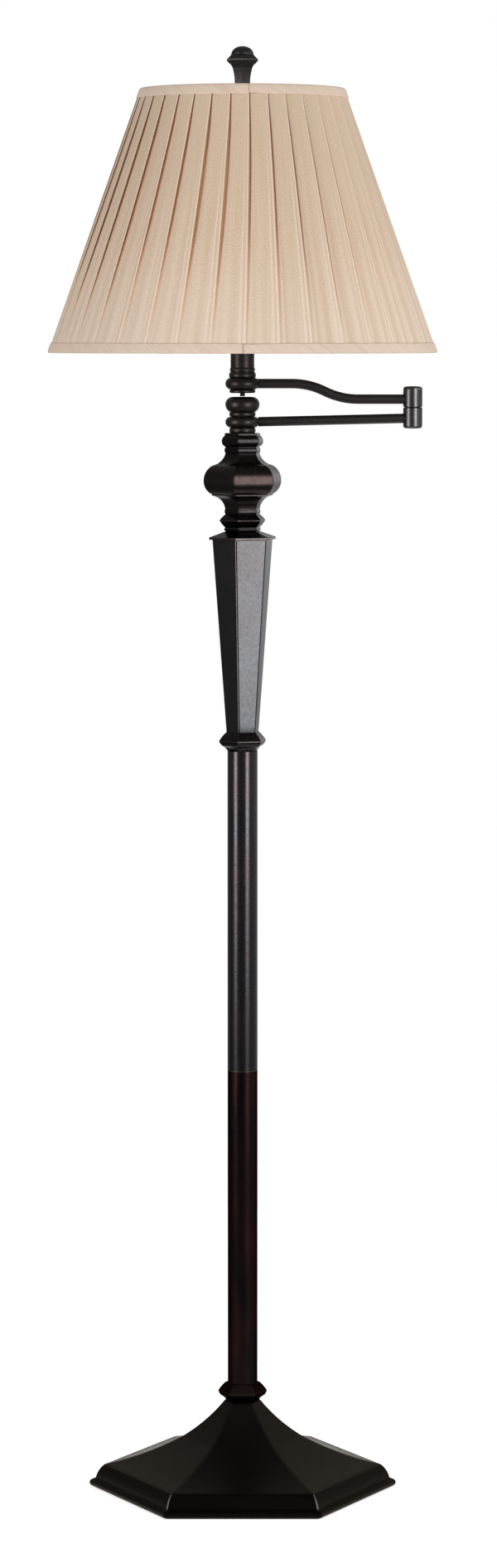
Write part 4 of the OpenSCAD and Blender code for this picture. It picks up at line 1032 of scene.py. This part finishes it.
def trim_outline(up):
    """Across a trim: how far out from the cone, and how far from the shade's edge."""
    lo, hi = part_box("shade_bottom_trim" if up > 0 else "shade_top_trim")
    height = hi.z - lo.z
    outside = [(-0.4, 1.0), (0.25, 0.995), (0.55, 0.97), (0.75, 0.91), (0.85, 0.8), (0.9, 0.62), (0.92, 0.45)]
    edge = [(0.88, 0.28), (0.7, 0.14), (0.3, 0.04), (-0.35, 0.0), (-1.3, -0.01), (-2.9, 0.0), (-4.3, 0.02)]
    inside = [(-5.1, 0.06), (-5.5, 0.13), (-5.55, 0.25), (-5.5, 0.33), (-5.1, 0.35)]
    return [(o * MM, h * height) for o, h in outside + edge + inside]


TRIM_SIDES = 360
# At the seam a trim's end lies this far out over its start and its edge sags this far, each over an angle
LAP, LAP_OVER = 0.8 * MM, math.radians(9)
SAG, SAG_OVER = 0.8 * MM, math.radians(14)
# How far round from the seam its painted shade reaches
SEAM_SHADE = math.radians(0.4)
# How dark the first points across each trim are: the cloth's shadow on its edge
BOTTOM_SHADE = (1.0, 1.0, 0.7)
TOP_SHADE = (0.35,)


def build_trim(name, up, seam):
    """A bias tape folded over an edge of the shade. Its end laps over its start at the seam."""
    edge = SHADE_Z0 if up > 0 else SHADE_Z1
    outline = trim_outline(up)
    rng = random.Random(5 + up)
    waves = [(rng.randint(9, 60), rng.uniform(0, TAU), rng.uniform(0.02, 0.08)) for _ in range(7)]
    # Even steps round the shade, and then three close ones for the painted shade along the seam
    around = [math.radians(0.04 + 359.1 * k / (TRIM_SIDES - 4)) for k in range(TRIM_SIDES - 3)]
    around += [math.radians(a) for a in (359.4, 359.65, 359.96)]
    shades = BOTTOM_SHADE if up > 0 else TOP_SHADE
    rings, uvs, crease = [], [], []
    run = 0.0
    for i, (out, h) in enumerate(outline):
        if i:
            run += math.hypot(out - outline[i - 1][0], h - outline[i - 1][1])
        shows = out > -1 * MM
        shade = shades[i] if i < len(shades) else 0.0
        ring = []
        for behind in around:
            a = seam + behind
            lap = LAP * smooth_step(1 - behind / LAP_OVER) if shows else 0
            pucker = sum(amp * math.sin(n * a + p) for n, p, amp in waves) * MM if shows else 0
            sag = SAG * smooth_step(1 - behind / SAG_OVER) if i < 3 else 0
            z = edge + up * (h - sag)
            r = cone_r(z) + out + lap + pucker
            ring.append(Vector((r * math.cos(a), r * math.sin(a), z)))
            uvs.append((behind * cone_r(edge), -up * run))
            crease.append(1.0 if behind > TAU - SEAM_SHADE else shade)
        rings.append(ring)
    if up > 0:
        rings.reverse()
        back = [j * TRIM_SIDES + k for j in range(len(rings) - 1, -1, -1) for k in range(TRIM_SIDES)]
        uvs, crease = [uvs[i] for i in back], [crease[i] for i in back]
    verts, faces = skin(rings)
    return add_piece(name + "_tape", "upper_link", "shade_trim", verts, faces, (name,), uvs, crease=crease)


LINER_INSET = 4.0 * MM
LINER_THICK = 0.8 * MM
LINER_SIDES = 192


def build_liner():
    lo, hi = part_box("shade_liner")
    z_rows = [blend(lo.z, hi.z, t) for t in (0, 0.25, 0.5, 0.75, 1)]
    path = [(cone_r(z) - LINER_INSET, z) for z in z_rows]
    path += [(r - LINER_THICK, z) for r, z in reversed(path)]
    path.append(path[0])
    rings, uvs = [], []
    for r, z in path:
        rings.append(circle(r, z, LINER_SIDES))
        uvs += [(TAU * k / LINER_SIDES * cone_r(lo.z), z - lo.z) for k in range(LINER_SIDES)]
    verts, faces = skin(rings)
    piece = add_piece("shade_lining", "upper_link", "liner", verts, faces, ("shade_liner",), uvs)
    edge = piece.modifiers.new("split", "EDGE_SPLIT")
    edge.split_angle = math.radians(50)


# ---- Felt and bulb ----


def build_felt():
    lo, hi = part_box("base_felt")
    r = (hi.x - lo.x) / 2
    foot, middle, head = lo.z, (lo.z + hi.z) / 2, hi.z
    rows = [(r - 1.2 * MM, foot), (r - 0.2 * MM, foot + 0.3 * MM), (r, middle), (r - 0.3 * MM, head)]
    rings = [rounded_hexagon(a, z, 0, 3 * MM)[0] for a, z in rows]
    for share in (0.66, 0.33, 0.02):  # rings across the underside, towards its middle
        rings.insert(0, [Vector((p.x * share, p.y * share, foot)) for p in rings[-1]])
    verts, faces = skin(rings)
    capped(verts, faces, len(rings[0]))
    felt = add_piece("felt_pad", "stand", "felt", verts, faces, ("base_felt",))


BULB_NECK_R = 13 * MM
BULB_SHOULDER = math.radians(-28)
BULB_NECK_STEPS = 12
BULB_GLOBE_STEPS = 40


def build_bulb():
    """A round lamp bulb, drawn through its CAD outline with smooth curves."""
    lo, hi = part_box("bulb_glass")
    r = (hi.y - lo.y) / 2
    centre = hi.z - r
    outline = []
    start = Vector((BULB_NECK_R, lo.z))
    end = Vector((r * math.cos(BULB_SHOULDER), centre + r * math.sin(BULB_SHOULDER)))
    pull = Vector((BULB_NECK_R + 1 * MM, lo.z + 0.55 * (end.y - lo.z)))
    for i in range(BULB_NECK_STEPS):
        t = i / BULB_NECK_STEPS
        outline.append(start * (1 - t) ** 2 + pull * 2 * t * (1 - t) + end * t**2)
    for i in range(BULB_GLOBE_STEPS + 1):
        a = blend(BULB_SHOULDER, math.pi / 2 - 0.02, i / BULB_GLOBE_STEPS)
        outline.append(Vector((r * math.cos(a), centre + r * math.sin(a))))
    replaced = ("bulb_glass",)
    turned_piece(
        "bulb_envelope", "upper_link", "bulb_glass", outline, replaced, sides=72, finish="bulb_glass"
    )


# ---- Stage and light ----


# The floor: half its width, where it begins and ends along Y, and how much it glows to be plain white
FLOOR_HALF, FLOOR_FRONT, FLOOR_BACK = 0.5, -0.52, 1.6
FLOOR_GLOW = 0.63


def build_stage():
    """A plain white floor."""
    mesh = bpy.data.meshes.new("floor")
    left, right = -FLOOR_HALF, FLOOR_HALF
    corners = [(left, FLOOR_FRONT, 0), (right, FLOOR_FRONT, 0), (right, FLOOR_BACK, 0), (left, FLOOR_BACK, 0)]
    mesh.from_pydata(corners, [], [(0, 1, 2, 3)])
    floor = bpy.data.objects.new("floor", mesh)
    bpy.context.scene.collection.objects.link(floor)
    material, n, shader = new_material("floor_paper")
    grain = n.noise(n.place(), 60, 3)
    n.link(n.mix(grain, (0.89, 0.89, 0.89), (0.91, 0.91, 0.91)), shader.inputs["Base Color"])
    shader.inputs["Emission Color"].default_value = (FLOOR_GLOW, FLOOR_GLOW, FLOOR_GLOW, 1)
    set_plain(shader, Roughness=0.9, Specular_IOR_Level=0.1, Emission_Strength=1.0)
    mesh.materials.append(material)


def softbox(name, azimuth, distance, height, size, radiance):
    """A rectangular lamp at an azimuth from the camera's side, facing the lamp's axis."""
    data = bpy.data.lights.new(name, "AREA")
    data.shape = "RECTANGLE"
    data.size, data.size_y = size
    data.energy = radiance * math.pi * size[0] * size[1]
    lamp = bpy.data.objects.new(name, data)
    a = math.radians(azimuth)
    lamp.location = (distance * math.sin(a), -distance * math.cos(a), height)
    lamp.rotation_euler = (math.pi / 2, 0, a)
    lamp.visible_camera = False
    bpy.context.scene.collection.objects.link(lamp)


# Each softbox's azimuth, distance, height, size and radiance
SOFTBOXES = {
    "key_softbox": (37.5, 2.2, 1.22, (0.82, 1.9), 6.8),
    "fill_softbox": (-54, 2.2, 1.22, (0.76, 1.9), 6.8),
    "side_softbox": (88, 1.5, 1.75, (0.6, 0.6), 3.2),
}
# Around the horizon: degrees to the right of straight behind the lamp, and how bright the studio is there
STUDIO = [
    (-180, 0.17), (-110, 0.19), (-60, 0.21), (-30, 0.24), (0, 0.30), (35, 0.42),
    (62, 0.58), (88, 0.52), (118, 0.32), (140, 0.18), (180, 0.17),
]
CEILING = (0.36, 0.36, 0.365)


def build_light():
    """Two tall softboxes, a small one beside them, and a grey studio with a white backdrop."""
    for name, values in SOFTBOXES.items():
        softbox(name, *values)
    world = bpy.data.worlds.new("studio")
    bpy.context.scene.world = world
    world.use_nodes = True
    n = Nodes(world.node_tree)
    way = n.add("TexCoord").outputs["Generated"]
    up = n.axis(way, "Z")
    around = n.math("ARCTAN2", n.axis(way, "X"), n.axis(way, "Y"))
    ramp = n.add("ValToRGB")
    n.link(n.ramp(around, -math.pi, math.pi), ramp.inputs["Fac"])
    stops = ramp.color_ramp.elements
    while len(stops) > 1:
        stops.remove(stops[-1])
    stops[0].position = 0
    for i, (degrees, level) in enumerate(STUDIO):
        stop = stops[0] if i == 0 else stops.new((degrees + 180) / 360)
        stop.color = (level, level, level, 1)
    studio = n.mix(n.ramp(up, 0.30, 0.75), ramp.outputs["Color"], CEILING)
    # The backdrop: white straight behind the lamp, and fainter to each side of that above the horizon
    behind = n.math("MULTIPLY", n.ramp(around, -0.14, -0.08), n.ramp(around, 0.14, 0.08))
    behind = n.math("MULTIPLY", behind, n.ramp(up, -0.32, -0.2))
    beside = n.math("MULTIPLY", n.ramp(around, -0.24, -0.12), n.ramp(around, 0.62, 0.40))
    beside = n.math("MULTIPLY", beside, n.ramp(up, -0.10, -0.02, 0.15, 1))
    white = n.math("MULTIPLY", n.math("MAXIMUM", behind, beside), n.ramp(up, 0.19, 0.085))
    background = world.node_tree.nodes["Background"]
    n.link(n.mix(white, studio, (1.0, 1.0, 1.0)), background.inputs["Color"])
    bpy.context.scene.view_settings.view_transform = "Standard"


build_castings()
build_column()
build_turned()
build_upper_arm()
pleats, pleats_cut = build_cloth()
top_trim = build_trim("shade_top_trim", -1, math.radians(-86.3))
bottom_trim = build_trim("shade_bottom_trim", 1, math.radians(-89.6))
build_liner()
build_felt()
build_bulb()
build_stage()
build_light()

bpy.context.view_layer.update()
